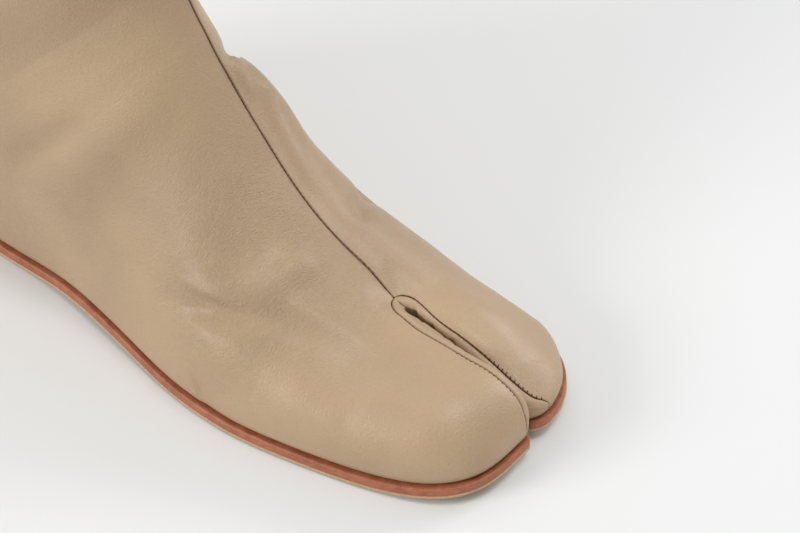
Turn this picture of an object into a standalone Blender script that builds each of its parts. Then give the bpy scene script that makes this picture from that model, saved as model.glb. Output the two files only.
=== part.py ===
"""Right split-toe ankle boot in soft leather (a flat jika tabi shape), as separate closed solids.

Frame: +X to the toe, +Y to the big-toe side, +Z up, origin on the floor under the centre of the sole's box.
Pieces: upper (one hollow leather shell), toe_gusset (the band that lines the cleft), outsole and insole.
Lengths in the tables are shares of the named sizes, and "back" is a distance behind the toe tip.
"""
import math

import bmesh
import bpy
import numpy as np

# Driving sizes, in metres
LENGTH = 0.255
BALL_WIDTH = 0.091
HEEL_WIDTH = 0.063
TOE_HEIGHT = 0.0345
INSTEP_HEIGHT = 0.100
COLLAR_HEIGHT = 0.152
SHAFT_FRONT = 0.140
SHAFT_WIDTH = 0.072
CLEFT_LENGTH = 0.0563
CLEFT_OFFSET = 0.0085

SOLE_THICKNESS = 0.0045
SOLE_LEDGE = 0.0009
TOE_LEDGE = 0.0010
SLOT_LEDGE = 0.0004
TOE_SPRING = 0.0048
SPRING_LENGTH = 0.050
WAIST_LIFT = 0.0020

LEATHER = 0.0018
GUSSET_LEATHER = 0.0014
ROLL_HEIGHT = 0.0040
ROLL_INSET = 0.0024
LIP_WIDTH = 0.0045
BAND_END = 0.0042
ROOT_DIP = 0.0026
SLIT_HALF_GAP = 0.0012
INSOLE_THICKNESS = 0.0020
CLEARANCE = 0.0003
SLIT_ROOT = CLEFT_LENGTH - BAND_END

# The sole's outline, as half widths in shares of the ball width: back share of the length, lateral, medial
OUTLINE = (
    (0.00, 0.470, 0.500),
    (0.09, 0.473, 0.492),
    (0.18, 0.480, 0.496),
    (0.27, 0.494, 0.500),
    (0.34, 0.500, 0.480),
    (0.41, 0.484, 0.428),
    (0.48, 0.446, 0.360),
    (0.55, 0.406, 0.311),
    (0.63, 0.366, 0.292),
    (0.71, 0.352, 0.306),
    (0.80, 0.346, 0.334),
    (0.88, 0.346, 0.346),
    (1.00, 0.346, 0.346),
)

# Each toe lobe: where its tip lies beside the cleft (share of the ball width), how far back its outer side
# rounds (share of the length), the two exponents of that rounding, how far back its top and its cleft corner
# round (shares of the toe height), the exponent of the top's rounding, the exponent of its section, the share
# of the shoulder's depth that it has, and how far its tip stands back (share of the length)
LOBES = {
    -1: dict(tip=0.0615, round=0.314, n=1.5, m=4.0, rise=0.580, corner=0.174, top=2.0, full=2.30, sink=0.70,
             short=0.000),
    +1: dict(tip=0.0879, round=0.094, n=1.6, m=1.8, rise=0.986, corner=0.145, top=1.6, full=1.90, sink=1.00,
             short=0.005),
}

# Over the cleft, by the share of its length from the toe: the crest's distance beside the cleft for the lateral
# and medial lobe and the stitch line's distance for both (shares of the ball width), the depth of the rounded
# shoulder, and the height of the lateral and medial crest (shares of the toe height)
CLEFT = (
    (0.00, 0.0615, 0.0879, 0.0505, 0.0791, 0.0000, 0.865, 0.700),
    (0.05, 0.0791, 0.0989, 0.0450, 0.0600, 0.0870, 0.865, 0.705),
    (0.12, 0.0989, 0.1099, 0.0430, 0.0480, 0.1450, 0.865, 0.725),
    (0.25, 0.1275, 0.1264, 0.0440, 0.0440, 0.1681, 0.867, 0.765),
    (0.45, 0.1451, 0.1385, 0.0485, 0.0380, 0.1623, 0.875, 0.830),
    (0.65, 0.1297, 0.1275, 0.0560, 0.0310, 0.1391, 0.896, 0.885),
    (0.80, 0.1055, 0.1055, 0.0600, 0.0340, 0.0986, 0.917, 0.915),
    (0.90, 0.0879, 0.0879, 0.0527, 0.0410, 0.0464, 0.948, 0.948),
    (1.00, 0.0879, 0.0879, 0.0527, 0.0420, 0.0290, 1.000, 1.000),
)
CLEFT_END_SHARE = 0.90

# Sections from the cleft's end to the collar. foot is the back share of the length where the section meets
# the sole, or 1 + the share of the collar height where it meets the back seam. advance runs from the cleft's
# end (0) to the shaft's front (1). rise runs from TOE_HEIGHT (0) by INSTEP_HEIGHT (1) to COLLAR_HEIGHT (2).
# pull goes from the sole's width (0) to the shaft's (1). crown is the share of the section over which it
# closes to the top, full and full_m the lateral and medial exponents of that, swell the medial side's extra
# width in shares of the ball width, spread how the points gather, seam the front seam's side share.
SECTIONS = (
    # foot, advance, rise, pull, crown, full, full_m, swell, spread, seam
    (0.2235, 0.000, 0.000, 0.00, 1.00, 2.30, 1.90, 0.000, 0.87, 1.000),
    (0.2820, 0.181, 0.094, 0.00, 1.00, 2.22, 1.94, 0.000, 0.90, 1.000),
    (0.3390, 0.340, 0.206, 0.00, 1.00, 2.12, 2.04, 0.000, 0.98, 1.000),
    (0.4000, 0.484, 0.366, 0.05, 1.00, 2.06, 2.18, 0.020, 1.10, 1.000),
    (0.4700, 0.600, 0.540, 0.20, 1.00, 2.04, 2.34, 0.055, 1.25, 1.000),
    (0.5480, 0.690, 0.682, 0.42, 0.95, 2.02, 2.38, 0.080, 1.40, 1.000),
    (0.6310, 0.763, 0.812, 0.62, 0.85, 1.98, 2.14, 0.050, 1.55, 1.000),
    (0.7140, 0.820, 0.916, 0.78, 0.66, 1.92, 1.80, -0.005, 1.68, 1.000),
    (0.7960, 0.866, 1.020, 0.90, 0.62, 1.86, 1.74, -0.020, 1.80, 1.000),
    (0.8667, 0.901, 1.120, 0.96, 0.58, 1.80, 1.68, -0.020, 1.88, 0.975),
    (0.9275, 0.926, 1.205, 1.00, 0.55, 1.76, 1.64, -0.020, 1.94, 0.950),
    (0.9600, 0.944, 1.280, 1.00, 0.53, 1.74, 1.62, -0.010, 1.97, 0.925),
    (0.9830, 0.957, 1.345, 1.00, 0.51, 1.72, 1.62, 0.000, 1.99, 0.900),
    (0.9960, 0.967, 1.410, 1.00, 0.50, 1.70, 1.62, 0.000, 2.00, 0.875),
    (1.1200, 0.977, 1.490, 1.00, 0.49, 1.70, 1.62, 0.000, 2.00, 0.850),
    (1.2450, 0.985, 1.575, 1.00, 0.48, 1.70, 1.62, 0.000, 2.00, 0.825),
    (1.3850, 0.991, 1.665, 1.00, 0.48, 1.70, 1.64, 0.000, 2.00, 0.800),
    (1.5400, 0.995, 1.760, 1.00, 0.48, 1.70, 1.66, 0.000, 2.00, 0.775),
    (1.6950, 0.998, 1.850, 1.00, 0.48, 1.70, 1.68, 0.000, 2.00, 0.750),
    (1.8500, 1.000, 1.930, 1.00, 0.48, 1.70, 1.70, 0.000, 2.00, 0.725),
    (2.0000, 1.000, 2.000, 1.00, 0.48, 1.70, 1.70, 0.000, 2.00, 0.700),
)
HEEL_ROW = 13

# The back seam: share of the collar height, setback from the heel's end in shares of the length, and the
# depth over which the back rounds, in shares of the heel width
BACK = (
    (0.00, 0.004, 0.500),
    (0.08, 0.003, 0.500),
    (0.18, 0.004, 0.510),
    (0.32, 0.011, 0.560),
    (0.48, 0.026, 0.620),
    (0.64, 0.035, 0.680),
    (0.82, 0.037, 0.720),
    (1.00, 0.035, 0.740),
)

# Edge profiles from the bottom up, in shares of the piece's thickness: height, distance out from the outline
OUTSOLE_EDGE = (
    (0.00, -0.133),
    (0.10, -0.022),
    (0.32, 0.000),
    (0.38, -0.089),
    (0.80, -0.044),
    (1.00, -0.133),
)
INSOLE_EDGE = (
    (0.00, -0.150),
    (0.50, 0.000),
    (1.00, -0.150),
)

# The share of a section's points that lie between its crest and the seam, and the row where that ends
CREST_SHARE = 0.16
CREST_ROWS = 5

# How long the slit's root rounds, in shares of half the slit's width
ROOT_ROUND_SHARE = 2.2
# Over how much of the cleft's length, ahead of the slit's root, the two lobes' heights run together
JOIN_SHARE = 0.30

# Which piece a face of the leather surface belongs to
PIECES = ("slab", "panels", "band", "gap")

# Rows over the toes, in shares of the slit's length
TIP_ROWS = (0, 0.0002, 0.0013, 0.0040, 0.0090, 0.017, 0.030, 0.050, 0.080, 0.122, 0.180, 0.260, 0.360, 0.480,
            0.610, 0.740, 0.860)

# Counts of mesh steps
WALL_STEPS = 12
BAND_STEPS = 3
SLIT_STEPS = 4
ROLL_STEPS = 3
PLAN_AHEAD = 18
PLAN_BEHIND = 26


class Spline:
    """Natural cubic curve through the rows of a table. It keeps its end slopes outside them."""

    def __init__(self, knots, values):
        self.x = np.array(knots, float)
        self.y = np.array(values, float)
        n = len(self.x)
        h = np.diff(self.x)
        slope = np.diff(self.y) / h
        a = np.eye(n)
        b = np.zeros(n)
        for i in range(1, n - 1):
            a[i, i - 1:i + 2] = h[i - 1], 2 * (h[i - 1] + h[i]), h[i]
            b[i] = 6 * (slope[i] - slope[i - 1])
        self.bend = np.linalg.solve(a, b)
        self.h = h

    def __call__(self, t):
        t = float(np.clip(t, self.x[0], self.x[-1]))
        i = int(np.clip(np.searchsorted(self.x, t) - 1, 0, len(self.h) - 1))
        h = self.h[i]
        a = (self.x[i + 1] - t) / h
        b = (t - self.x[i]) / h
        curved = (a ** 3 - a) * self.bend[i] + (b ** 3 - b) * self.bend[i + 1]
        return a * self.y[i] + b * self.y[i + 1] + curved * h * h / 6


def columns(table, keys=None):
    """A spline for each column after the first, over the first column or over the row numbers."""
    rows = np.array(table, float)
    knots = rows[:, 0] if keys is None else keys
    return [Spline(knots, rows[:, k]) for k in range(1 if keys is None else 0, rows.shape[1])]


def rounded(share, n=2.0, m=2.0):
    """A quarter of a superellipse: 0 at its end, 1 where the shape has its full width."""
    share = min(max(share, 0.0), 1.0)
    return (1 - (1 - share) ** n) ** (1 / m)


def smooth(t):
    t = min(max(t, 0.0), 1.0)
    return t * t * (3 - 2 * t)


LATERAL, MEDIAL = columns(OUTLINE)
CREST_LATERAL, CREST_MEDIAL, STITCH_LATERAL, STITCH_MEDIAL, SHOULDER, TOP_LATERAL, TOP_MEDIAL = columns(CLEFT)
BACK_SETBACK, BACK_ROUND = columns(BACK)
ROWS = np.arange(len(SECTIONS))
ADVANCE, RISE, PULL, CROWN, FULL, FULL_MEDIAL, SWELL, SPREAD, SEAM = columns(SECTIONS, ROWS)[1:]
FOOT_OPEN = Spline(ROWS[:HEEL_ROW + 1], [row[0] for row in SECTIONS[:HEEL_ROW + 1]])
FOOT_CLOSED = Spline(ROWS[HEEL_ROW:], [1.0] + [row[0] for row in SECTIONS[HEEL_ROW + 1:]])


def to_x(back):
    """X of a place that far behind the toe tip."""
    return LENGTH / 2 - back


def sole_lift(back):
    """Height of the sole's underside over the floor: toe spring, and a low lift under the waist."""
    spring = TOE_SPRING * (max(0.0, 1 - back / SPRING_LENGTH)) ** 3
    waist = math.sin(math.pi * min(max((back / LENGTH - 0.40) / 0.34, 0.0), 1.0)) ** 2
    return spring + WAIST_LIFT * waist


def seat(back):
    """Height of the upper's underside, on top of the sole."""
    return SOLE_THICKNESS + sole_lift(back) + CLEARANCE


def heel_round(back, height):
    """1 where the shoe has its full width, falling to 0 at the back seam."""
    share = height / COLLAR_HEIGHT
    ahead = LENGTH - back - BACK_SETBACK(share) * LENGTH
    return rounded(ahead / (BACK_ROUND(share) * HEEL_WIDTH))


def lobe_side(side, back):
    """Distance from the axis of the outer side of the sole, before the heel's rounding."""
    lobe = LOBES[side]
    full = (MEDIAL if side > 0 else LATERAL)(back / LENGTH) * BALL_WIDTH
    tip = side * CLEFT_OFFSET + lobe["tip"] * BALL_WIDTH
    return tip + (full - tip) * rounded(back / (lobe["round"] * LENGTH), lobe["n"], lobe["m"])


def cleft_values(side, back):
    """Crest, stitch line and shoulder depth beside the cleft, each as a distance."""
    share = back / CLEFT_LENGTH
    held = min(share, CLEFT_END_SHARE)
    ends = rounded((1 - share) / (1 - CLEFT_END_SHARE))
    crest = (CREST_MEDIAL if side > 0 else CREST_LATERAL)(held) * BALL_WIDTH
    stitch = (STITCH_MEDIAL if side > 0 else STITCH_LATERAL)(held) * BALL_WIDTH * ends
    shoulder = SHOULDER(share) * TOE_HEIGHT * smooth((1 - share) / (1 - CLEFT_END_SHARE))
    return crest, min(stitch, crest), shoulder


def lobe_section(side, back):
    """Named sizes of one lobe's section, with y as a distance to its own side of the cleft."""
    lobe = LOBES[side]
    crest, stitch, shoulder = cleft_values(side, back)
    outer = lobe_side(side, back) - side * CLEFT_OFFSET - SOLE_LEDGE * rounded(back / ROLL_HEIGHT)
    base = seat(upper_back(side, back)) + ROLL_HEIGHT
    share = back / CLEFT_LENGTH
    apart = smooth((SLIT_ROOT - back) / (JOIN_SHARE * CLEFT_LENGTH))
    own, other = (TOP_MEDIAL, TOP_LATERAL) if side > 0 else (TOP_LATERAL, TOP_MEDIAL)
    top = TOE_HEIGHT * (own(share) + other(share) + (own(share) - other(share)) * apart) / 2
    sink = 1 - (1 - lobe["sink"]) * apart
    height = (top - base) * rounded(back / (lobe["rise"] * TOE_HEIGHT), lobe["top"], lobe["top"])
    corner = rounded(back / (lobe["corner"] * TOE_HEIGHT))
    wall = crest + (min(slit_half(back), crest) - crest) * corner
    stitch = crest + (stitch - crest) * corner
    return dict(crest=crest, stitch=max(stitch, wall), outer=outer, wall=wall, base=base, height=height,
                depth=min(shoulder * sink, 0.5 * height), full=lobe["full"])


def slit_half(back):
    """Half the slit's width: even, with a rounded end at its root."""
    return SLIT_HALF_GAP * rounded((SLIT_ROOT - back) / (ROOT_ROUND_SHARE * SLIT_HALF_GAP))


def tip_back(side, back):
    """A place over the cleft's length, moved back by as much as its lobe's tip stands back."""
    return back + LOBES[side]["short"] * LENGTH * max(0.0, 1 - back / SLIT_ROOT)


def upper_back(side, back):
    """The upper's toe tips stand a ledge's width behind the sole's."""
    return TOE_LEDGE + tip_back(side, back) * (1 - TOE_LEDGE / CLEFT_LENGTH)


def root_dip(back, y):
    """How far the leather sinks round the cleft's end, by the place and the distance from the cleft."""
    along = smooth(1 - abs(back - CLEFT_LENGTH) / (0.2 * CLEFT_LENGTH))
    return ROOT_DIP * along * smooth(1 - abs(y) / (0.17 * CLEFT_LENGTH))


def lobe_point(side, back, y, z):
    base = seat(upper_back(side, back)) + ROLL_HEIGHT
    z -= root_dip(back, y) * smooth((z - base) / (TOE_HEIGHT / 2))
    return np.array((to_x(upper_back(side, back)), CLEFT_OFFSET + side * y, z))


def panel_in_lobe(side, back, share):
    """The upper over a toe lobe: share 0 at the sole, 1 at the stitch line beside the cleft."""
    s = lobe_section(side, back)
    over, power = CREST_SHARE, 2 / s["full"]
    if share <= 1 - over:
        angle = math.pi / 2 * share / (1 - over)
        y = s["crest"] + (s["outer"] - s["crest"]) * max(math.cos(angle), 0.0) ** power
        return lobe_point(side, back, y, s["base"] + s["height"] * math.sin(angle) ** power)
    return shoulder_in_lobe(side, back, (share - 1 + over) / over * stitch_share(s))


def stitch_share(s):
    """How far round the shoulder the stitch line runs."""
    across = (s["crest"] - s["stitch"]) / max(s["crest"] - s["wall"], 1e-6)
    return math.asin(min(max(across, 0.0), 1.0)) / (math.pi / 2)


def shoulder_in_lobe(side, back, share):
    """The rounded shoulder from the crest (0) to the top of the slit's wall (1)."""
    s = lobe_section(side, back)
    angle = math.pi / 2 * share
    y = s["crest"] + (s["wall"] - s["crest"]) * math.sin(angle)
    return lobe_point(side, back, y, s["base"] + s["height"] - s["depth"] * (1 - math.cos(angle)))


def slit_wall(side, back, share):
    """The slit's wall from its top (0) down to the roll above the sole (1)."""
    s = lobe_section(side, back)
    top = s["base"] + s["height"] - s["depth"]
    return lobe_point(side, back, s["wall"], top + (s["base"] - top) * share)


def panel_in_section(side, t, share):
    """The upper behind the cleft: row t of SECTIONS, share 0 at the sole or back seam, 1 at the front seam."""
    rise = RISE(t)
    top_back = CLEFT_LENGTH + (SHAFT_FRONT - CLEFT_LENGTH) * ADVANCE(t)
    top_z = float(np.interp(rise, (0, 1, 2), (TOE_HEIGHT, INSTEP_HEIGHT, COLLAR_HEIGHT)))
    if t < HEEL_ROW:
        foot_back = FOOT_OPEN(t) * LENGTH
        foot_z = seat(foot_back) + ROLL_HEIGHT
    else:
        foot_z = seat(LENGTH) + ROLL_HEIGHT
        foot_z += (FOOT_CLOSED(t) - 1) * (COLLAR_HEIGHT - foot_z)
        foot_back = LENGTH * (1 - BACK_SETBACK(foot_z / COLLAR_HEIGHT))
    flat = 1 - smooth(t / CREST_ROWS)
    over = CREST_SHARE * flat
    along = math.sin(math.pi / 2 * min(share / (1 - over), 1.0)) ** SPREAD(t)
    back = foot_back + (top_back - foot_back) * along
    z = foot_z + (top_z - foot_z) * along
    full = (FULL_MEDIAL if side > 0 else FULL)(t)
    crown = rounded((1 - along) / CROWN(t), full, full)
    at_sole = lobe_side(side, foot_back) - SOLE_LEDGE
    half = at_sole + (SHAFT_WIDTH / 2 - at_sole) * PULL(t) * smooth(along / 0.6)
    if side > 0:
        half += SWELL(t) * BALL_WIDTH * smooth(along / 0.45)
    seam = SEAM(t) * CLEFT_OFFSET
    crest = (CREST_MEDIAL if side > 0 else CREST_LATERAL)(CLEFT_END_SHARE) * BALL_WIDTH * flat
    across = side * seam + crest + (half - side * seam - crest) * crown
    if share > 1 - over:
        across = side * seam + crest * (1 - share) / over
    from_seam = across - side * seam
    z -= root_dip(back, from_seam) * smooth((z - foot_z) / (TOE_HEIGHT / 2))
    return np.array((to_x(back), side * across * heel_round(back, z), z))


def spine(side, back, slit=False):
    """A point inside the sole that the rolled edge turns in towards."""
    if back >= CLEFT_LENGTH * 0.86 and not slit:
        inside = min(back, LENGTH * (1 - BACK_SETBACK(0)) - BACK_ROUND(0) * HEEL_WIDTH)
        return np.array((to_x(inside), (lobe_side(1, inside) - lobe_side(-1, inside)) / 2))
    inside = max(back, 0.28 * CLEFT_LENGTH)
    middle = (lobe_side(side, inside) - side * CLEFT_OFFSET) / 2
    return np.array((to_x(inside), CLEFT_OFFSET + side * middle))


def inwards(side, back, point, slit=False):
    """The level direction into the sole. Both slit walls turn straight back at the slit's root."""
    step = spine(side, back, slit) - point[:2]
    step = step / np.linalg.norm(step)
    if slit:
        turn = smooth((back - SLIT_ROOT) / ROLL_HEIGHT + 1)
        step = step * (1 - turn) + np.array((-turn, 0.0))
        step = step / np.linalg.norm(step)
    return step


def edge_point(side, back, widest, angle, extra, slit):
    """A place on the edge rolled in under the upper, by the angle turned, and how far past the roll."""
    inset = ROLL_INSET * (1 - math.cos(angle)) + extra
    x, y = widest[:2] + inwards(side, back, widest, slit) * inset
    return np.array((x, y, seat(LENGTH / 2 - x) + ROLL_HEIGHT * (1 - math.sin(angle))))


def edge_columns(side, back, widest, slit=False):
    """The leather turned in on the sole, then its roll up to just under the widest point."""
    under = edge_point(side, back, widest, math.pi / 2, LIP_WIDTH, slit)
    angles = [math.pi / 2 * (1 - k / ROLL_STEPS) for k in range(ROLL_STEPS)]
    return [under] + [edge_point(side, back, widest, angle, 0.0, slit) for angle in angles]


class Plan:
    """A level outline kept back from the sole's own edge: its inner and outer edge on either side."""

    def __init__(self, toe_gap, side_gap, slot, heel_gap):
        self.toe_gap, self.side_gap, self.slot = toe_gap, side_gap, slot
        self.root = SLIT_ROOT + slot - SLIT_HALF_GAP
        self.end = LENGTH - heel_gap
        ahead = [(1 - math.cos(math.pi * k / PLAN_AHEAD)) / 2 for k in range(PLAN_AHEAD + 1)]
        self.ahead = [toe_gap + (self.root - toe_gap) * share ** 1.2 for share in ahead]
        behind = [math.sin(math.pi / 2 * k / PLAN_BEHIND) for k in range(PLAN_BEHIND + 1)]
        self.behind = [self.root + (self.end - self.root) * (0.5 * share + 0.5 * share ** 2) for share in behind]

    def outer(self, side, back):
        tip = side * CLEFT_OFFSET + LOBES[side]["tip"] * BALL_WIDTH
        reach = LOBES[side]["round"] * LENGTH
        shifted = max(0.0, back - self.toe_gap * max(0.0, 1 - back / (3 * reach)))
        full = lobe_side(side, shifted) - self.side_gap * rounded(shifted / reach)
        y = max(full, tip) * rounded((self.end - back) / (HEEL_WIDTH / 2))
        return np.array((to_x(tip_back(side, back)), side * y))

    def inner(self, side, back):
        tip = LOBES[side]["tip"] * BALL_WIDTH
        half = self.slot * rounded((self.root - back) / (ROOT_ROUND_SHARE * self.slot))
        y = half + (tip - half) * (1 - rounded((back - self.toe_gap) / (LOBES[side]["corner"] * TOE_HEIGHT)))
        return np.array((to_x(tip_back(side, back)), CLEFT_OFFSET + side * y))

    def middle(self, back):
        fade = smooth((back - self.root) / (self.end - self.root))
        return np.array((to_x(back), CLEFT_OFFSET * (1 - fade)))

    def edges(self, side):
        """Points and outward directions, from the slot's root round the tip to the heel."""
        points = [self.inner(side, back) for back in self.ahead[::-1]]
        points += [self.outer(side, back) for back in self.ahead[1:] + self.behind[1:]]
        outward = []
        for i in range(len(points)):
            step = points[min(i + 1, len(points) - 1)] - points[max(i - 1, 0)]
            normal = np.array((step[1], -step[0])) * side
            outward.append(normal / np.linalg.norm(normal))
        outward[0], outward[-1] = np.array((1.0, 0.0)), np.array((-1.0, 0.0))
        return points, outward


class Surface:
    """The outer face of all the leather in one sheet, so pieces that meet share their normals."""

    def __init__(self):
        self.bm = bmesh.new()
        self.piece = self.bm.faces.layers.int.new("piece")

    def patch(self, side, piece, rows):
        """Adds the quads between successive rows of points, facing out."""
        made = [[self.bm.verts.new(p) for p in row] for row in rows]
        for a, b in zip(made, made[1:]):
            for i in range(len(a) - 1):
                corners = (a[i], b[i], b[i + 1], a[i + 1])
                face = self.bm.faces.new(corners if side > 0 else corners[::-1])
                face[self.piece] = PIECES.index(piece)

    def weld(self):
        bmesh.ops.remove_doubles(self.bm, verts=self.bm.verts, dist=2e-5)
        bmesh.ops.dissolve_degenerate(self.bm, edges=self.bm.edges, dist=2e-5)
        self.bm.normal_update()

    def shell(self, name, piece, thickness, leather):
        """One piece as a closed solid, its wall measured inwards from the outer face."""
        bm = bmesh.new()
        outer, inner = {}, {}
        mark = PIECES.index(piece)
        faces = [face for face in self.bm.faces if face[self.piece] == mark]
        for face in faces:
            for vert in face.verts:
                if vert not in outer:
                    outer[vert] = bm.verts.new(vert.co)
                    inner[vert] = bm.verts.new(vert.co - vert.normal * thickness)
        for face in faces:
            bm.faces.new([outer[vert] for vert in face.verts])
            bm.faces.new([inner[vert] for vert in reversed(face.verts)])
            for loop in face.loops:
                near = [other for other in loop.edge.link_faces if other[self.piece] == mark]
                if len(near) == 1:
                    a, b = loop.vert, loop.link_loop_next.vert
                    bm.faces.new((outer[b], outer[a], inner[a], inner[b]))
        return add_object(name, bm, leather)


def add_object(name, bm, leather):
    mesh = bpy.data.meshes.new(name)
    bm.to_mesh(mesh)
    bm.free()
    mesh.shade_smooth()
    mesh.set_sharp_from_angle(angle=math.radians(50))
    obj = bpy.data.objects.new(name, mesh)
    bpy.context.scene.collection.objects.link(obj)
    mesh.materials.append(leather)
    return obj


def material(name, colour, roughness):
    made = bpy.data.materials.new(name)
    made.use_nodes = True
    shader = made.node_tree.nodes["Principled BSDF"]
    shader.inputs["Base Color"].default_value = (*colour, 1)
    shader.inputs["Roughness"].default_value = roughness
    return made


def lobe_backs():
    """Places of the sections over the cleft, close together at the toe tip and round the slit's root."""
    tips = [SLIT_ROOT * share for share in TIP_ROWS]
    slit_end = [SLIT_ROOT - ROOT_ROUND_SHARE * SLIT_HALF_GAP * share for share in (0.83, 0.38, 0.11, 0.0)]
    band = CLEFT_LENGTH - SLIT_ROOT
    band_end = [SLIT_ROOT + band * share for share in (0.35, 0.62, 0.80, 0.92, 0.98, 1.0)]
    return tips + slit_end + band_end


def section_rows():
    """Rows of SECTIONS, with one between each pair as far as the heel."""
    return [k / 2 for k in range(2 * HEEL_ROW)] + list(range(HEEL_ROW, len(SECTIONS)))


def foot_back_of(t):
    return FOOT_OPEN(min(t, HEEL_ROW)) * LENGTH


def build_panels(surface):
    """Both quarters of the upper, joined at the front seam and the back seam."""
    shares = [j / WALL_STEPS for j in range(WALL_STEPS + 1)]
    for side in (-1, 1):
        rows = []
        for back in lobe_backs():
            wall = [panel_in_lobe(side, back, share) for share in shares]
            rows.append(edge_columns(side, back, wall[0]) + wall)
        for t in section_rows()[1:]:
            wall = [panel_in_section(side, t, share) for share in shares]
            if t <= HEEL_ROW:
                rows.append(edge_columns(side, foot_back_of(t), wall[0]) + wall)
            if t == HEEL_ROW:
                surface.patch(side, "panels", rows)
                rows = [wall]
            if t > HEEL_ROW:
                rows.append(wall)
        surface.patch(side, "panels", rows)


def build_cleft(surface):
    """The band round the cleft and both walls of the slit."""
    for side in (-1, 1):
        backs = lobe_backs()
        edges = [[panel_in_lobe(side, back, 1.0), band_columns(side, back)[0]] for back in backs]
        surface.patch(side, "gap", edges)
        ahead = [back for back in backs if back <= SLIT_ROOT]
        walls = [band_columns(side, back) + wall_columns(side, back) for back in ahead]
        surface.patch(side, "gap", walls[:2])
        surface.patch(side, "band", walls[1:])
        surface.patch(side, "band", [band_columns(side, back) for back in backs if back >= SLIT_ROOT])


def band_columns(side, back):
    """From the band's outer edge over the shoulder to the slit's edge."""
    s = lobe_section(side, back)
    gap = CLEARANCE * (2 - rounded(back / (2 * ROLL_HEIGHT)))
    edge = max(lobe_section(side, min(back + gap, CLEFT_LENGTH))["stitch"] - gap, s["wall"], 0.0)
    across = (s["crest"] - min(edge, s["crest"])) / max(s["crest"] - s["wall"], 1e-6)
    start = math.asin(min(max(across, 0.0), 1.0)) / (math.pi / 2)
    if back >= CLEFT_LENGTH - CLEARANCE:
        start = 1.0
    return [shoulder_in_lobe(side, back, start + (1 - start) * k / BAND_STEPS) for k in range(BAND_STEPS + 1)]


def wall_columns(side, back):
    """Down the slit's wall to the roll, the roll and the turned-in edge."""
    wall = [slit_wall(side, back, k / SLIT_STEPS) for k in range(1, SLIT_STEPS + 1)]
    return wall + edge_columns(side, back, wall[-1], True)[::-1]


def build_slab(name, plan, edge, bottom, thickness, leather):
    """A flat piece with a shaped edge, bent to the sole's spring."""
    surface = Surface()

    def lifted(point, share):
        return (*point, bottom + share * thickness + sole_lift(LENGTH / 2 - point[0]))

    def across(start, end, share):
        return [lifted((start + end) / 2, share)]

    for side in (-1, 1):
        points, outward = plan.edges(side)
        count = len(plan.ahead)

        def ring(i):
            return [points[i] + outward[i] * out * thickness for share, out in edge]

        front = []
        for k in range(count):
            inside, outside = ring(count - 1 - k), ring(count - 1 + k)
            row = [lifted(p, share) for p, (share, out) in zip(inside, edge)]
            row += across(inside[-1], outside[-1], 1)
            row += [lifted(p, share) for p, (share, out) in zip(outside[::-1], edge[::-1])]
            front.append(row + across(outside[0], inside[0], 0) + row[:1])
        surface.patch(-side, "slab", front)
        back = []
        for k in range(count - 1, len(points) - count + 1):
            outside = ring(count - 1 + k)
            top = bottom_middle = plan.middle(LENGTH / 2 - points[count - 1 + k][0])
            if k == count - 1:
                top, bottom_middle = ring(0)[-1], ring(0)[0]
            if count - 1 + k == len(points) - 1:
                top, bottom_middle = outside[-1], outside[0]
            row = [lifted(top, 1)] + across(top, outside[-1], 1)
            row += [lifted(p, share) for p, (share, out) in zip(outside[::-1], edge[::-1])]
            back.append(row + across(outside[0], bottom_middle, 0) + [lifted(bottom_middle, 0)])
        surface.patch(-side, "slab", back)
    surface.weld()
    return add_object(name, surface.bm, leather)


def main():
    for obj in list(bpy.data.objects):
        bpy.data.objects.remove(obj)
    leather = material("leather", (0.50, 0.38, 0.24), 0.45)
    sole_leather = material("sole_leather", (0.42, 0.18, 0.10), 0.50)
    lining_leather = material("lining_leather", (0.62, 0.50, 0.36), 0.60)
    surface = Surface()
    build_panels(surface)
    build_cleft(surface)
    surface.weld()
    surface.shell("upper", "panels", LEATHER, leather)
    surface.shell("toe_gusset", "band", GUSSET_LEATHER, leather)
    surface.bm.free()
    plan = Plan(0.0, 0.0, SLIT_HALF_GAP - SLOT_LEDGE, 0.0)
    build_slab("outsole", plan, OUTSOLE_EDGE, 0.0, SOLE_THICKNESS, sole_leather)
    inset = SOLE_LEDGE + LEATHER + 4 * CLEARANCE
    heel_gap = inset + 4 * CLEARANCE
    slot = SLIT_HALF_GAP + GUSSET_LEATHER + 3 * CLEARANCE
    plan = Plan(TOE_LEDGE + 2 * LEATHER, inset, slot, heel_gap)
    bottom = SOLE_THICKNESS + LEATHER + 2 * CLEARANCE
    build_slab("insole", plan, INSOLE_EDGE, bottom, INSOLE_THICKNESS, lining_leather)


main()
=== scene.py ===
"""The looks of a right split-toe leather ankle boot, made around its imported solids.

The frame is the solids' own: +X to the toe, +Y to the big-toe side, +Z up, in metres. "back" is a distance
behind the toe tip. "side" is -1 on the small-toe (lateral) half and +1 on the big-toe (medial) half.
"""
import math
from bisect import bisect_right
from functools import lru_cache, partial

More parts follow.
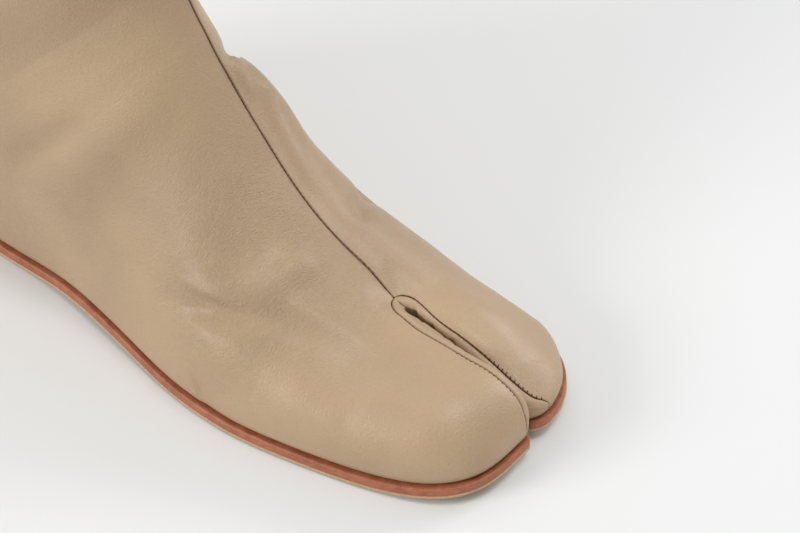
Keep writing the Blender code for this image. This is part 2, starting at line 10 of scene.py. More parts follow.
import bmesh
import bpy
import numpy as np
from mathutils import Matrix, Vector


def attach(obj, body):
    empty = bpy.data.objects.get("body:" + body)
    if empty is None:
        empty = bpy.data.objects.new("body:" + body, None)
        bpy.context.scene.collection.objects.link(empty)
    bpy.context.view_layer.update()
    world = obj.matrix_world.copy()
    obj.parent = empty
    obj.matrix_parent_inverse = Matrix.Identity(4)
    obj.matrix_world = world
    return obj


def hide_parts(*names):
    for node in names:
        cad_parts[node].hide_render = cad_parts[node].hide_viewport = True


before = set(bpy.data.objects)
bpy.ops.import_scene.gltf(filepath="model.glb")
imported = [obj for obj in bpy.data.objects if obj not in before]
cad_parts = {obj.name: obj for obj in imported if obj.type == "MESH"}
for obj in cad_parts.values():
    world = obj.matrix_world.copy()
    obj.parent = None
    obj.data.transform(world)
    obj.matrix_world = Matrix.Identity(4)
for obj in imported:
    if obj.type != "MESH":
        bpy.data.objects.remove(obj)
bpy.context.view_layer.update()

# Sizes of the shoe, as in its solids
LENGTH = 0.255
BALL_WIDTH = 0.091
HEEL_WIDTH = 0.063
TOE_HEIGHT = 0.0345
INSTEP_HEIGHT = 0.100
COLLAR_HEIGHT = 0.152
SHAFT_FRONT = 0.140
SHAFT_WIDTH = 0.072
CLEFT_LENGTH = 0.0563
CLEFT_OFFSET = 0.0085
SOLE_THICKNESS = 0.0045
SOLE_LEDGE = 0.0009
TOE_LEDGE = 0.0010
SLOT_LEDGE = 0.0004
TOE_SPRING = 0.0048
SPRING_LENGTH = 0.050
WAIST_LIFT = 0.0020
WAIST_START = 0.40
WAIST_SPAN = 0.34
LEATHER = 0.0018
GUSSET_LEATHER = 0.0014
ROLL_HEIGHT = 0.0040
ROLL_INSET = 0.0024
LIP_WIDTH = 0.0045
BAND_END = 0.0042
ROOT_DIP = 0.0026
SLIT_HALF_GAP = 0.0012
CLEARANCE = 0.0003
SLIT_ROOT = CLEFT_LENGTH - BAND_END
CLEFT_END_SHARE = 0.90
ROOT_ROUND_SHARE = 2.2
JOIN_SHARE = 0.30
HEEL_ROW = 13
CREST_SHARE = 0.16
CREST_ROWS = 5
DIP_BACK = 0.2
DIP_ACROSS = 0.17
PULL_SHARE = 0.6
SWELL_SHARE = 0.45
SPINE_JOIN = 0.86
SPINE_TIP = 0.28

OUTLINE = (
    (0.00, 0.470, 0.500),
    (0.09, 0.473, 0.492),
    (0.18, 0.480, 0.496),
    (0.27, 0.494, 0.500),
    (0.34, 0.500, 0.480),
    (0.41, 0.484, 0.428),
    (0.48, 0.446, 0.360),
    (0.55, 0.406, 0.311),
    (0.63, 0.366, 0.292),
    (0.71, 0.352, 0.306),
    (0.80, 0.346, 0.334),
    (0.88, 0.346, 0.346),
    (1.00, 0.346, 0.346),
)
LOBES = {
    -1: dict(tip=0.0615, round=0.314, n=1.5, m=4.0, rise=0.580, corner=0.174, top=2.0, full=2.30, sink=0.70,
             short=0.000),
    +1: dict(tip=0.0879, round=0.094, n=1.6, m=1.8, rise=0.986, corner=0.145, top=1.6, full=1.90, sink=1.00,
             short=0.005),
}
CLEFT = (
    (0.00, 0.0615, 0.0879, 0.0505, 0.0791, 0.0000, 0.865, 0.700),
    (0.05, 0.0791, 0.0989, 0.0450, 0.0600, 0.0870, 0.865, 0.705),
    (0.12, 0.0989, 0.1099, 0.0430, 0.0480, 0.1450, 0.865, 0.725),
    (0.25, 0.1275, 0.1264, 0.0440, 0.0440, 0.1681, 0.867, 0.765),
    (0.45, 0.1451, 0.1385, 0.0485, 0.0380, 0.1623, 0.875, 0.830),
    (0.65, 0.1297, 0.1275, 0.0560, 0.0310, 0.1391, 0.896, 0.885),
    (0.80, 0.1055, 0.1055, 0.0600, 0.0340, 0.0986, 0.917, 0.915),
    (0.90, 0.0879, 0.0879, 0.0527, 0.0410, 0.0464, 0.948, 0.948),
    (1.00, 0.0879, 0.0879, 0.0527, 0.0420, 0.0290, 1.000, 1.000),
)
SECTIONS = (
    # foot, advance, rise, pull, crown, full, full_m, swell, spread, seam
    (0.2235, 0.000, 0.000, 0.00, 1.00, 2.30, 1.90, 0.000, 0.87, 1.000),
    (0.2820, 0.181, 0.094, 0.00, 1.00, 2.22, 1.94, 0.000, 0.90, 1.000),
    (0.3390, 0.340, 0.206, 0.00, 1.00, 2.12, 2.04, 0.000, 0.98, 1.000),
    (0.4000, 0.484, 0.366, 0.05, 1.00, 2.06, 2.18, 0.020, 1.10, 1.000),
    (0.4700, 0.600, 0.540, 0.20, 1.00, 2.04, 2.34, 0.055, 1.25, 1.000),
    (0.5480, 0.690, 0.682, 0.42, 0.95, 2.02, 2.38, 0.080, 1.40, 1.000),
    (0.6310, 0.763, 0.812, 0.62, 0.85, 1.98, 2.14, 0.050, 1.55, 1.000),
    (0.7140, 0.820, 0.916, 0.78, 0.66, 1.92, 1.80, -0.005, 1.68, 1.000),
    (0.7960, 0.866, 1.020, 0.90, 0.62, 1.86, 1.74, -0.020, 1.80, 1.000),
    (0.8667, 0.901, 1.120, 0.96, 0.58, 1.80, 1.68, -0.020, 1.88, 0.975),
    (0.9275, 0.926, 1.205, 1.00, 0.55, 1.76, 1.64, -0.020, 1.94, 0.950),
    (0.9600, 0.944, 1.280, 1.00, 0.53, 1.74, 1.62, -0.010, 1.97, 0.925),
    (0.9830, 0.957, 1.345, 1.00, 0.51, 1.72, 1.62, 0.000, 1.99, 0.900),
    (0.9960, 0.967, 1.410, 1.00, 0.50, 1.70, 1.62, 0.000, 2.00, 0.875),
    (1.1200, 0.977, 1.490, 1.00, 0.49, 1.70, 1.62, 0.000, 2.00, 0.850),
    (1.2450, 0.985, 1.575, 1.00, 0.48, 1.70, 1.62, 0.000, 2.00, 0.825),
    (1.3850, 0.991, 1.665, 1.00, 0.48, 1.70, 1.64, 0.000, 2.00, 0.800),
    (1.5400, 0.995, 1.760, 1.00, 0.48, 1.70, 1.66, 0.000, 2.00, 0.775),
    (1.6950, 0.998, 1.850, 1.00, 0.48, 1.70, 1.68, 0.000, 2.00, 0.750),
    (1.8500, 1.000, 1.930, 1.00, 0.48, 1.70, 1.70, 0.000, 2.00, 0.725),
    (2.0000, 1.000, 2.000, 1.00, 0.48, 1.70, 1.70, 0.000, 2.00, 0.700),
)
BACK = (
    (0.00, 0.004, 0.500), (0.08, 0.003, 0.500), (0.18, 0.004, 0.510), (0.32, 0.011, 0.560),
    (0.48, 0.026, 0.620), (0.64, 0.035, 0.680), (0.82, 0.037, 0.720), (1.00, 0.035, 0.740),
)

# Detail that only the looks have
# How the two quarters meet: depth and half width of the groove, and how far the medial edge stands proud
SEAM_DEPTH = 0.00045
SEAM_HALF = 0.00045
SEAM_START = 0.004
SEAM_RAISE = 0.0005
SEAM_RAISE_REACH = 0.0034
BACK_SEAM_SHARE = 0.8
COLLAR_FOLD = 0.0006
COLLAR_FOLD_HALF = 0.0007
BAND_GAP = 0.00008
BAND_GROOVE = 0.0005
BAND_GROOVE_HALF = 0.0004

# The dark line along seams and stitch rows: the thread's own colour, with painted shade of the seam's groove
# in it; the lateral one beside the cleft is fainter towards the toe
LINE_WIDTH = 0.00022
LINE_DARK = 0.95
BACK_LINE_DARK = 0.9
LINE_FAINT = 0.45
FAINT_START = 0.006
FAINT_SPAN = 0.010
FAINT_REACH = 0.003
STITCH_PITCH = 0.0017

# The lining under the outer leather, and how it hangs loose of it below the collar
OUTER_WALL = 0.0013
LINING_IN = 0.00135
LINING_OUT = LEATHER
LINING_SLACK = 0.0004
LINING_SLACK_SPAN = 0.012
LINING_DROP = 0.0006
AT_COLLAR = 0.0002

# The band's rounded face, where its pleats start, and how its walls are drawn together in the slit
BAND_ROLL = 0.0006
BAND_ROLL_REACH = 0.0038
PLEAT_START = 0.0012
PLEAT_SPAN = 0.0022
BAND_CREASE = 0.25
SLIT_CLOSING = 0.00100
CLOSING_END = 0.94
CLOSING_SPAN = 0.16
CLOSING_TIP = 0.012
CLOSING_EDGE = 0.0030
CLOSING_EDGE_SPAN = 0.0025

# Stitches: ticks off the medial line, dots on the lateral one, where each row lies across its quarter, how far
# back a stitch reaches, and the row under the collar
TICK_LENGTH = 0.0013
TICK_RADIUS = 0.00017
DOT_LENGTH = 0.00045
DOT_RADIUS = 0.00019
TICK_LEAN = 0.35
TICK_ROWS = (-0.975, -0.42)
TICK_SHARE = 0.998
DOT_ROWS = (-0.90, -0.48)
DOT_SHARE = 0.992
STITCH_OVERLAP = 0.25
COLLAR_STITCH_DROP = 0.003
COLLAR_PITCH = 0.0026
COLLAR_THREAD = 0.00022
COLLAR_STITCH_SHARE = 0.68
COLLAR_ENDS = (0.002, 0.003)

# The outsole: points of its outline ahead of the slot's root and behind it, and its edge from the bottom up,
# as a share of its thickness and the distance out from the outline in thicknesses
SOLE_AHEAD = 70
SOLE_BEHIND = 110
SOLE_EDGE = (
    (0.00, -0.500), (0.00, -0.200), (0.02, -0.110), (0.07, -0.050), (0.14, -0.012), (0.22, 0.000),
    (0.29, -0.006), (0.33, -0.040), (0.36, -0.068), (0.40, -0.062), (0.50, -0.048), (0.65, -0.040),
    (0.80, -0.044), (0.90, -0.060), (0.96, -0.090), (1.00, -0.140), (1.00, -0.260), (1.00, -0.550),
)

# Pleats of the band: side, place in shares of the cleft's length, half width and depth
PLEATS = (
    (1, 0.866, 0.00070, 0.001020), (1, 0.745, 0.00075, 0.001020), (1, 0.600, 0.00080, 0.000595),
    (-1, 0.800, 0.00090, 0.000306), (-1, 0.640, 0.00090, 0.000255), (-1, 0.560, 0.00080, 0.000255),
    (-1, 0.470, 0.00090, 0.000255),
)

# Distances from an edge of a quarter at which its mesh has a column
SEAM_COLUMNS = (0.0, 0.00012, 0.00024, 0.00038, 0.00055, 0.0008, 0.00115, 0.0016, 0.0022, 0.0030)
FOOT_COLUMNS = (0.0, 0.0002, 0.0004, 0.0007, 0.0011, 0.0017)
TIGHT_ROW = 0.012
TIGHT_BAND = 0.006
ROLL_RUN = ROLL_HEIGHT * 1.4

# Rows of the sheet: where the even ones end, how they crowd at the toe, those at the slit's root and behind;
# the lining's coarser sheet; and the distance within which points become one
LAST_EVEN_ROW = 0.96
TIP_CROWDING = 1.7
ROOT_ROWS = (0.0014, 0.0008, 0.0004, 0.00015, 0.0)
BAND_ROWS = (0.0, 0.62, 0.80, 0.92, 0.98, 1.0)
COARSE = dict(lobes=34, per_row=3, middle=22, roll=3, band_steps=2, wall_steps=3)
WELD = 1.2e-5

PANELS, BAND, GAP = 1, 2, 3


class Spline:
    """Natural cubic curve through the rows of a table."""

    def __init__(self, knots, values):
        x = np.array(knots, float)
        y = np.array(values, float)
        n = len(x)
        h = np.diff(x)
        slope = np.diff(y) / h
        a = np.eye(n)
        b = np.zeros(n)
        for i in range(1, n - 1):
            a[i, i - 1:i + 2] = h[i - 1], 2 * (h[i - 1] + h[i]), h[i]
            b[i] = 6 * (slope[i] - slope[i - 1])
        self.bend = [float(v) for v in np.linalg.solve(a, b)]
        self.x, self.y, self.h = [float(v) for v in x], [float(v) for v in y], [float(v) for v in h]

    def __call__(self, t):
        t = min(max(float(t), self.x[0]), self.x[-1])
        i = min(max(bisect_right(self.x, t) - 1, 0), len(self.h) - 1)
        h = self.h[i]
        a = (self.x[i + 1] - t) / h
        b = (t - self.x[i]) / h
        curved = (a ** 3 - a) * self.bend[i] + (b ** 3 - b) * self.bend[i + 1]
        return a * self.y[i] + b * self.y[i + 1] + curved * h * h / 6


def columns(table, keys=None):
    """One curve for each column, against the first one or against keys."""
    rows = np.array(table, float)
    knots = rows[:, 0] if keys is None else keys
    return [Spline(knots, rows[:, k]) for k in range(1 if keys is None else 0, rows.shape[1])]


def rounded(share, n=2.0, m=2.0):
    """A quarter of a superellipse: 0 at its end, 1 where the shape has its full width."""
    share = min(max(share, 0.0), 1.0)
    return (1 - (1 - share) ** n) ** (1 / m)


def smooth(t):
    t = min(max(t, 0.0), 1.0)
    return t * t * (3 - 2 * t)


SIDES = (-1, 1)
WIDTH = dict(zip(SIDES, columns(OUTLINE)))
CLEFT_CURVES = columns(CLEFT)
CREST, STITCH, TOP = (dict(zip(SIDES, CLEFT_CURVES[k:k + 2])) for k in (0, 2, 5))
SHOULDER = CLEFT_CURVES[4]
BACK_SETBACK, BACK_ROUND = columns(BACK)
ROWS = np.arange(len(SECTIONS))
ADVANCE, RISE, PULL, CROWN, *FULLS, SWELL, SPREAD, SEAM = columns(SECTIONS, ROWS)[1:]
FULL = dict(zip(SIDES, FULLS))
FOOT_OPEN = Spline(ROWS[:HEEL_ROW + 1], [row[0] for row in SECTIONS[:HEEL_ROW + 1]])
FOOT_CLOSED = Spline(ROWS[HEEL_ROW:], [1.0] + [row[0] for row in SECTIONS[HEEL_ROW + 1:]])


def to_x(back):
    return LENGTH / 2 - back


def sole_lift(back):
    spring = TOE_SPRING * (max(0.0, 1 - back / SPRING_LENGTH)) ** 3
    waist = math.sin(math.pi * min(max((back / LENGTH - WAIST_START) / WAIST_SPAN, 0.0), 1.0)) ** 2
    return spring + WAIST_LIFT * waist


def seat(back):
    return SOLE_THICKNESS + sole_lift(back) + CLEARANCE


def heel_round(back, height):
    share = height / COLLAR_HEIGHT
    ahead = LENGTH - back - BACK_SETBACK(share) * LENGTH
    return rounded(ahead / (BACK_ROUND(share) * HEEL_WIDTH))


@lru_cache(None)
def lobe_side(side, back):
    lobe = LOBES[side]
    full = WIDTH[side](back / LENGTH) * BALL_WIDTH
    tip = side * CLEFT_OFFSET + lobe["tip"] * BALL_WIDTH
    return tip + (full - tip) * rounded(back / (lobe["round"] * LENGTH), lobe["n"], lobe["m"])


def slit_half(back):
    return SLIT_HALF_GAP * rounded((SLIT_ROOT - back) / (ROOT_ROUND_SHARE * SLIT_HALF_GAP))


def tip_back(side, back):
    return back + LOBES[side]["short"] * LENGTH * max(0.0, 1 - back / SLIT_ROOT)


def upper_back(side, back):
    return TOE_LEDGE + tip_back(side, back) * (1 - TOE_LEDGE / CLEFT_LENGTH)


def cleft_values(side, back):
    share = back / CLEFT_LENGTH
    held = min(share, CLEFT_END_SHARE)
    ends = rounded((1 - share) / (1 - CLEFT_END_SHARE))
    crest = CREST[side](held) * BALL_WIDTH
    stitch = STITCH[side](held) * BALL_WIDTH * ends
    shoulder = SHOULDER(share) * TOE_HEIGHT * smooth((1 - share) / (1 - CLEFT_END_SHARE))
    return crest, min(stitch, crest), shoulder


@lru_cache(None)
def lobe_section(side, back):
    lobe = LOBES[side]
    crest, stitch, shoulder = cleft_values(side, back)
    outer = lobe_side(side, back) - side * CLEFT_OFFSET - SOLE_LEDGE * rounded(back / ROLL_HEIGHT)
    base = seat(upper_back(side, back)) + ROLL_HEIGHT
    share = back / CLEFT_LENGTH
    apart = smooth((SLIT_ROOT - back) / (JOIN_SHARE * CLEFT_LENGTH))
    own, other = TOP[side](share), TOP[-side](share)
    top = TOE_HEIGHT * (own + other + (own - other) * apart) / 2
    sink = 1 - (1 - lobe["sink"]) * apart
    height = (top - base) * rounded(back / (lobe["rise"] * TOE_HEIGHT), lobe["top"], lobe["top"])
    corner = rounded(back / (lobe["corner"] * TOE_HEIGHT))
    wall = crest + (min(slit_half(back), crest) - crest) * corner
    stitch = crest + (stitch - crest) * corner
    return dict(crest=crest, stitch=max(stitch, wall), outer=outer, wall=wall, base=base, height=height,
                depth=min(shoulder * sink, 0.5 * height), full=lobe["full"])


def root_dip(back, y):
    along = smooth(1 - abs(back - CLEFT_LENGTH) / (DIP_BACK * CLEFT_LENGTH))
    return ROOT_DIP * along * smooth(1 - abs(y) / (DIP_ACROSS * CLEFT_LENGTH))


def lobe_point(side, back, y, z):
    base = lobe_section(side, back)["base"]
    z -= root_dip(back, y) * smooth((z - base) / (TOE_HEIGHT / 2))
    return (to_x(upper_back(side, back)), CLEFT_OFFSET + side * y, z)


def shoulder_share(s, y):
    """Where on the shoulder beside the cleft a distance from its middle lies."""
    across = (s["crest"] - y) / max(s["crest"] - s["wall"], 1e-6)
    return math.asin(min(max(across, 0.0), 1.0)) / (math.pi / 2)


def panel_in_lobe(side, back, share):
    """A quarter over its toe lobe: share 0 at the sole, 1 at the stitch line beside the cleft."""
    s = lobe_section(side, back)
    over, power = CREST_SHARE, 2 / s["full"]
    if share <= 1 - over:
        angle = math.pi / 2 * share / (1 - over)
        y = s["crest"] + (s["outer"] - s["crest"]) * max(math.cos(angle), 0.0) ** power
        return lobe_point(side, back, y, s["base"] + s["height"] * math.sin(angle) ** power)
    return shoulder_in_lobe(side, back, (share - 1 + over) / over * shoulder_share(s, s["stitch"]))


def shoulder_in_lobe(side, back, share):
    s = lobe_section(side, back)
    angle = math.pi / 2 * share
    y = s["crest"] + (s["wall"] - s["crest"]) * math.sin(angle)
    return lobe_point(side, back, y, s["base"] + s["height"] - s["depth"] * (1 - math.cos(angle)))


def slit_wall(side, back, share):
    s = lobe_section(side, back)
    top = s["base"] + s["height"] - s["depth"]
    return lobe_point(side, back, s["wall"], top + (s["base"] - top) * share)


@lru_cache(None)
def section_values(side, t):
    rise = RISE(t)
    top_back = CLEFT_LENGTH + (SHAFT_FRONT - CLEFT_LENGTH) * ADVANCE(t)
    top_z = float(np.interp(rise, (0, 1, 2), (TOE_HEIGHT, INSTEP_HEIGHT, COLLAR_HEIGHT)))
    if t < HEEL_ROW:
        foot_back = FOOT_OPEN(t) * LENGTH
        foot_z = seat(foot_back) + ROLL_HEIGHT
    else:
        foot_z = seat(LENGTH) + ROLL_HEIGHT
        foot_z += (FOOT_CLOSED(t) - 1) * (COLLAR_HEIGHT - foot_z)
        foot_back = LENGTH * (1 - BACK_SETBACK(foot_z / COLLAR_HEIGHT))
    flat = 1 - smooth(t / CREST_ROWS)
    crest = CREST[side](CLEFT_END_SHARE) * BALL_WIDTH * flat
    return dict(
        top_back=top_back, top_z=top_z, foot_back=foot_back, foot_z=foot_z, over=CREST_SHARE * flat,
        spread=SPREAD(t), full=FULL[side](t), crown=CROWN(t),
        at_sole=lobe_side(side, foot_back) - SOLE_LEDGE, pull=PULL(t), swell=SWELL(t),
        seam=SEAM(t) * CLEFT_OFFSET, crest=crest)


def panel_in_section(side, t, share):
    """A quarter behind the cleft: row t of SECTIONS, share 0 at sole or back seam, 1 at the front seam."""
    s = section_values(side, t)
    over, seam, crest = s["over"], s["seam"], s["crest"]
    along = math.sin(math.pi / 2 * min(share / (1 - over), 1.0)) ** s["spread"]
    back = s["foot_back"] + (s["top_back"] - s["foot_back"]) * along
    z = s["foot_z"] + (s["top_z"] - s["foot_z"]) * along
    crown = rounded((1 - along) / s["crown"], s["full"], s["full"])
    half = s["at_sole"] + (SHAFT_WIDTH / 2 - s["at_sole"]) * s["pull"] * smooth(along / PULL_SHARE)
    if side > 0:
        half += s["swell"] * BALL_WIDTH * smooth(along / SWELL_SHARE)
    across = side * seam + crest + (half - side * seam - crest) * crown
    if share > 1 - over:
        across = side * seam + crest * (1 - share) / over
    from_seam = across - side * seam
    z -= root_dip(back, from_seam) * smooth((z - s["foot_z"]) / (TOE_HEIGHT / 2))
    return (to_x(back), side * across * heel_round(back, z), z)


def spine(side, back, slit=False):
    """The line inside the foot, or inside one toe lobe, that the turned-in leather points to."""
    if back >= CLEFT_LENGTH * SPINE_JOIN and not slit:
        inside = min(back, LENGTH * (1 - BACK_SETBACK(0)) - BACK_ROUND(0) * HEEL_WIDTH)
        return np.array((to_x(inside), (lobe_side(1, inside) - lobe_side(-1, inside)) / 2))
    inside = max(back, SPINE_TIP * CLEFT_LENGTH)
    middle = (lobe_side(side, inside) - side * CLEFT_OFFSET) / 2
    return np.array((to_x(inside), CLEFT_OFFSET + side * middle))


def inwards(side, back, point, slit=False):
    """The level direction in which the leather is turned in at a point."""
    step = spine(side, back, slit) - np.array(point[:2])
    step = step / np.linalg.norm(step)
    if slit:
        turn = smooth((back - SLIT_ROOT) / ROLL_HEIGHT + 1)
        step = step * (1 - turn) + np.array((-turn, 0.0))
        step = step / np.linalg.norm(step)
    return step


def edge_columns(side, back, widest, steps, slit=False):
    """The leather turned in on the sole, then its roll up to just under the widest point."""
    step = inwards(side, back, widest, slit)

    def place(angle, extra):
        x, y = np.array(widest[:2]) + step * (ROLL_INSET * (1 - math.cos(angle)) + extra)
        return (x, y, seat(LENGTH / 2 - x) + ROLL_HEIGHT * (1 - math.sin(angle)))

    angles = [math.pi / 2 * (1 - k / steps) for k in range(steps)]
    return [place(math.pi / 2, LIP_WIDTH)] + [place(angle, 0.0) for angle in angles]


# The leather as one sheet
def fill(values, steps):
    """The values, with evenly spaced ones between each pair."""
    out = []
    for a, b in zip(values, values[1:]):
        out += [a + (b - a) * k / steps for k in range(steps)]
    return out + [values[-1]]


def lobe_backs(count):
    """Places of the rows over the toe lobes, from the tip to the end of the cleft."""
    tips = [SLIT_ROOT * LAST_EVEN_ROW * (k / count) ** TIP_CROWDING for k in range(count + 1)]
    slit_end = [SLIT_ROOT - ahead for ahead in ROOT_ROWS]
    band = CLEFT_LENGTH - SLIT_ROOT
    shares = fill(BAND_ROWS, 1 if count < 40 else 3)[1:]
    return tips + slit_end + [SLIT_ROOT + band * share for share in shares]


def run_along(points):
    """How far along a row of points each one lies."""
    steps = np.linalg.norm(np.diff(np.array(points), axis=0), axis=1)
    return np.concatenate(([0], np.cumsum(steps)))


def arc_shares(place, middle):
    """Shares of a row at even distances, closer together at both of its ends."""
    shares = np.linspace(0, 1, 49)
    run = run_along([place(share) for share in shares])
    total = max(run[-1], 1e-7)
    tight = min(1.0, total / TIGHT_ROW)
    low = np.array(FOOT_COLUMNS) * tight
    high = total - np.array(SEAM_COLUMNS[::-1]) * tight
    inner = np.linspace(low[-1], high[0], middle + 2)[1:-1]
    wanted = np.concatenate((low, inner, high))
    return np.interp(wanted, run + np.arange(len(run)) * 1e-12, shares), wanted, total, tight


def strips(bm, rows, flip):
    """Faces between neighbouring rows of vertices."""
    faces = []
    for a, b in zip(rows, rows[1:]):
        for i in range(len(a) - 1):
            corners = (a[i], b[i], b[i + 1], a[i + 1])
            faces.append(bm.faces.new(corners[::-1] if flip else corners))
    return faces


def weld(bm):
    bmesh.ops.remove_doubles(bm, verts=bm.verts, dist=WELD)
    bmesh.ops.dissolve_degenerate(bm, edges=bm.edges, dist=WELD)


class Sheet:
    """All the outer leather in one welded sheet, so that neighbours share their normals.

    Facts of a vertex: its distance from the seam or stitch line and from the back seam, and the share of its
    groove. Grain: its run along and across the leather, and its side.
    """

    def __init__(self):
        self.bm = bmesh.new()
        self.piece = self.bm.faces.layers.int.new("piece")
        self.facts = self.bm.verts.layers.float_vector.new("facts")
        self.grain = self.bm.verts.layers.float_vector.new("grain")

    def patch(self, side, piece, rows):
        """Adds faces between rows, which are lists of (point, facts, grain)."""
        made = []
        for row in rows:
            line = []
            for point, facts, grain in row:
                v = self.bm.verts.new(point)
                v[self.facts] = facts
                v[self.grain] = grain
                line.append(v)
            made.append(line)
        for face in strips(self.bm, made, side < 0):
            face[self.piece] = piece

    def weld(self):
        weld(self.bm)
        self.bm.normal_update()
        self.bm.verts.index_update()

    def arrays(self, piece):
        """Points, normals, facts, grain and faces of one piece."""
        index, verts, faces = {}, [], []
        for face in self.bm.faces:
            if face[self.piece] != piece:
                continue
            corners = []
            for v in face.verts:
                if v.index not in index:
                    index[v.index] = len(verts)
                    verts.append(v)
                corners.append(index[v.index])
            faces.append(corners)
        values = ([v.co, v.normal, v[self.facts], v[self.grain]] for v in verts)
        return (*(np.array([vector[:] for vector in column]) for column in zip(*values)), faces)


def row_facts(side, wanted, total, tight, run, closed, edge=()):
    """Facts and grain of the points of one row: those of its turned-in edge, then the others."""
    turned = [((total + far, 1.0, tight), (run, -far, float(side))) for far in edge]
    return turned + [((total - w, w if closed else 1.0, tight), (run, w, float(side))) for w in wanted]


def build_sheet(lobes=110, per_row=14, middle=72, roll=8, band_steps=14, wall_steps=14):
    """The whole leather sheet at the given fineness."""
    sheet = Sheet()
    backs = lobe_backs(lobes)
    for side in SIDES:
        def make_row(place, back, closed, run):
            shares, wanted, total, tight = arc_shares(place, middle)
            points = [place(share) for share in shares]
            facts = row_facts(side, wanted, total, tight, run, closed)
            if closed:
                return list(zip(points, *zip(*facts)))
            edge = edge_columns(side, back, points[0], roll)
            far = [ROLL_RUN * (roll - k) / roll for k in range(roll)]
            head = row_facts(side, (), total, tight, run, closed, [ROLL_RUN + LIP_WIDTH] + far)
            return list(zip(edge + points, *zip(*(head + facts))))

        rows = []
        for back in backs:
            rows.append(make_row(partial(panel_in_lobe, side, back), back, False, back))
        ts = [k / per_row for k in range(1, per_row * (len(SECTIONS) - 1) + 1)]
        run = CLEFT_LENGTH
        last = section_values(side, 0.0)
        for t in ts:
            s = section_values(side, t)
            run += math.hypot(s["top_back"] - last["top_back"], s["top_z"] - last["top_z"]) * 0.5
            run += math.hypot(s["foot_back"] - last["foot_back"], s["foot_z"] - last["foot_z"]) * 0.5
            last = s
            place = partial(panel_in_section, side, t)
            if t <= HEEL_ROW:
                foot = FOOT_OPEN(t) * LENGTH
                rows.append(make_row(place, foot, False, run))
            if abs(t - HEEL_ROW) < 1e-9:
                sheet.patch(side, PANELS, rows)
                rows = []
            if t >= HEEL_ROW:
                rows.append(make_row(place, 0, True, run))
        sheet.patch(side, PANELS, rows)

        def band(back):
            s = lobe_section(side, back)
            stitch = lobe_section(side, min(back + BAND_GAP, CLEFT_LENGTH))["stitch"]
            edge = max(stitch - BAND_GAP, s["wall"], 0.0)
            start = 1.0 if back >= CLEFT_LENGTH - BAND_GAP else shoulder_share(s, edge)
            return [shoulder_in_lobe(side, back, start + (1 - start) * k / band_steps)
                    for k in range(band_steps + 1)]

        def with_facts(points, back):
            tight = min(1.0, back / TIGHT_BAND)
            return [(p, (r, 1.0, tight), (back, r, float(side))) for p, r in zip(points, run_along(points))]

        def wall(back):
            down = [slit_wall(side, back, k / wall_steps) for k in range(1, wall_steps + 1)]
            return down + edge_columns(side, back, down[-1], roll, True)[::-1]

        whole = [with_facts(band(back) + wall(back), back) for back in backs if back <= SLIT_ROOT]
        ends = [with_facts(band(back), back) for back in backs if back >= SLIT_ROOT]
        sheet.patch(side, GAP, whole[:2])
        sheet.patch(side, BAND, whole[1:])
        sheet.patch(side, BAND, ends)
        gaps = []
        for back in backs:
            shared = ((0.0, 1.0, 1.0), (back, 0.0, float(side)))
            gaps.append([(panel_in_lobe(side, back, 1.0), *shared), (band(back)[0], *shared)])
        sheet.patch(side, GAP, gaps)
    sheet.weld()
    return sheet


def closed_shell(name, outer, inner, faces, attributes=None):
    """A closed solid between two copies of one sheet of faces."""
    n = len(outer)
    rim = {}
    quads = []
    for face in faces:
        quads += [tuple(face), tuple(i + n for i in reversed(face))]
        for a, b in zip(face, face[1:] + face[:1]):
            if (b, a) in rim:
                del rim[(b, a)]
            else:
                rim[(a, b)] = True
    quads += [(b, a, a + n, b + n) for a, b in rim]
    return mesh_object(name, np.concatenate((outer, inner)), quads,
                       {key: np.concatenate((value, value)) for key, value in (attributes or {}).items()})


def in_scene(name, data):
    obj = bpy.data.objects.new(name, data)
    bpy.context.scene.collection.objects.link(obj)
    return obj


def mesh_object(name, points, faces, attributes=None):
    mesh = bpy.data.meshes.new(name)
    mesh.from_pydata([tuple(p) for p in points], [], [tuple(f) for f in faces])
    for key, value in (attributes or {}).items():
        kind, field = ("FLOAT", "value") if value.ndim == 1 else ("FLOAT_VECTOR", "vector")
        mesh.attributes.new(key, kind, "POINT").data.foreach_set(field, value.astype(np.float32).ravel())
    mesh.validate()
    mesh.shade_smooth()
    return in_scene(name, mesh)


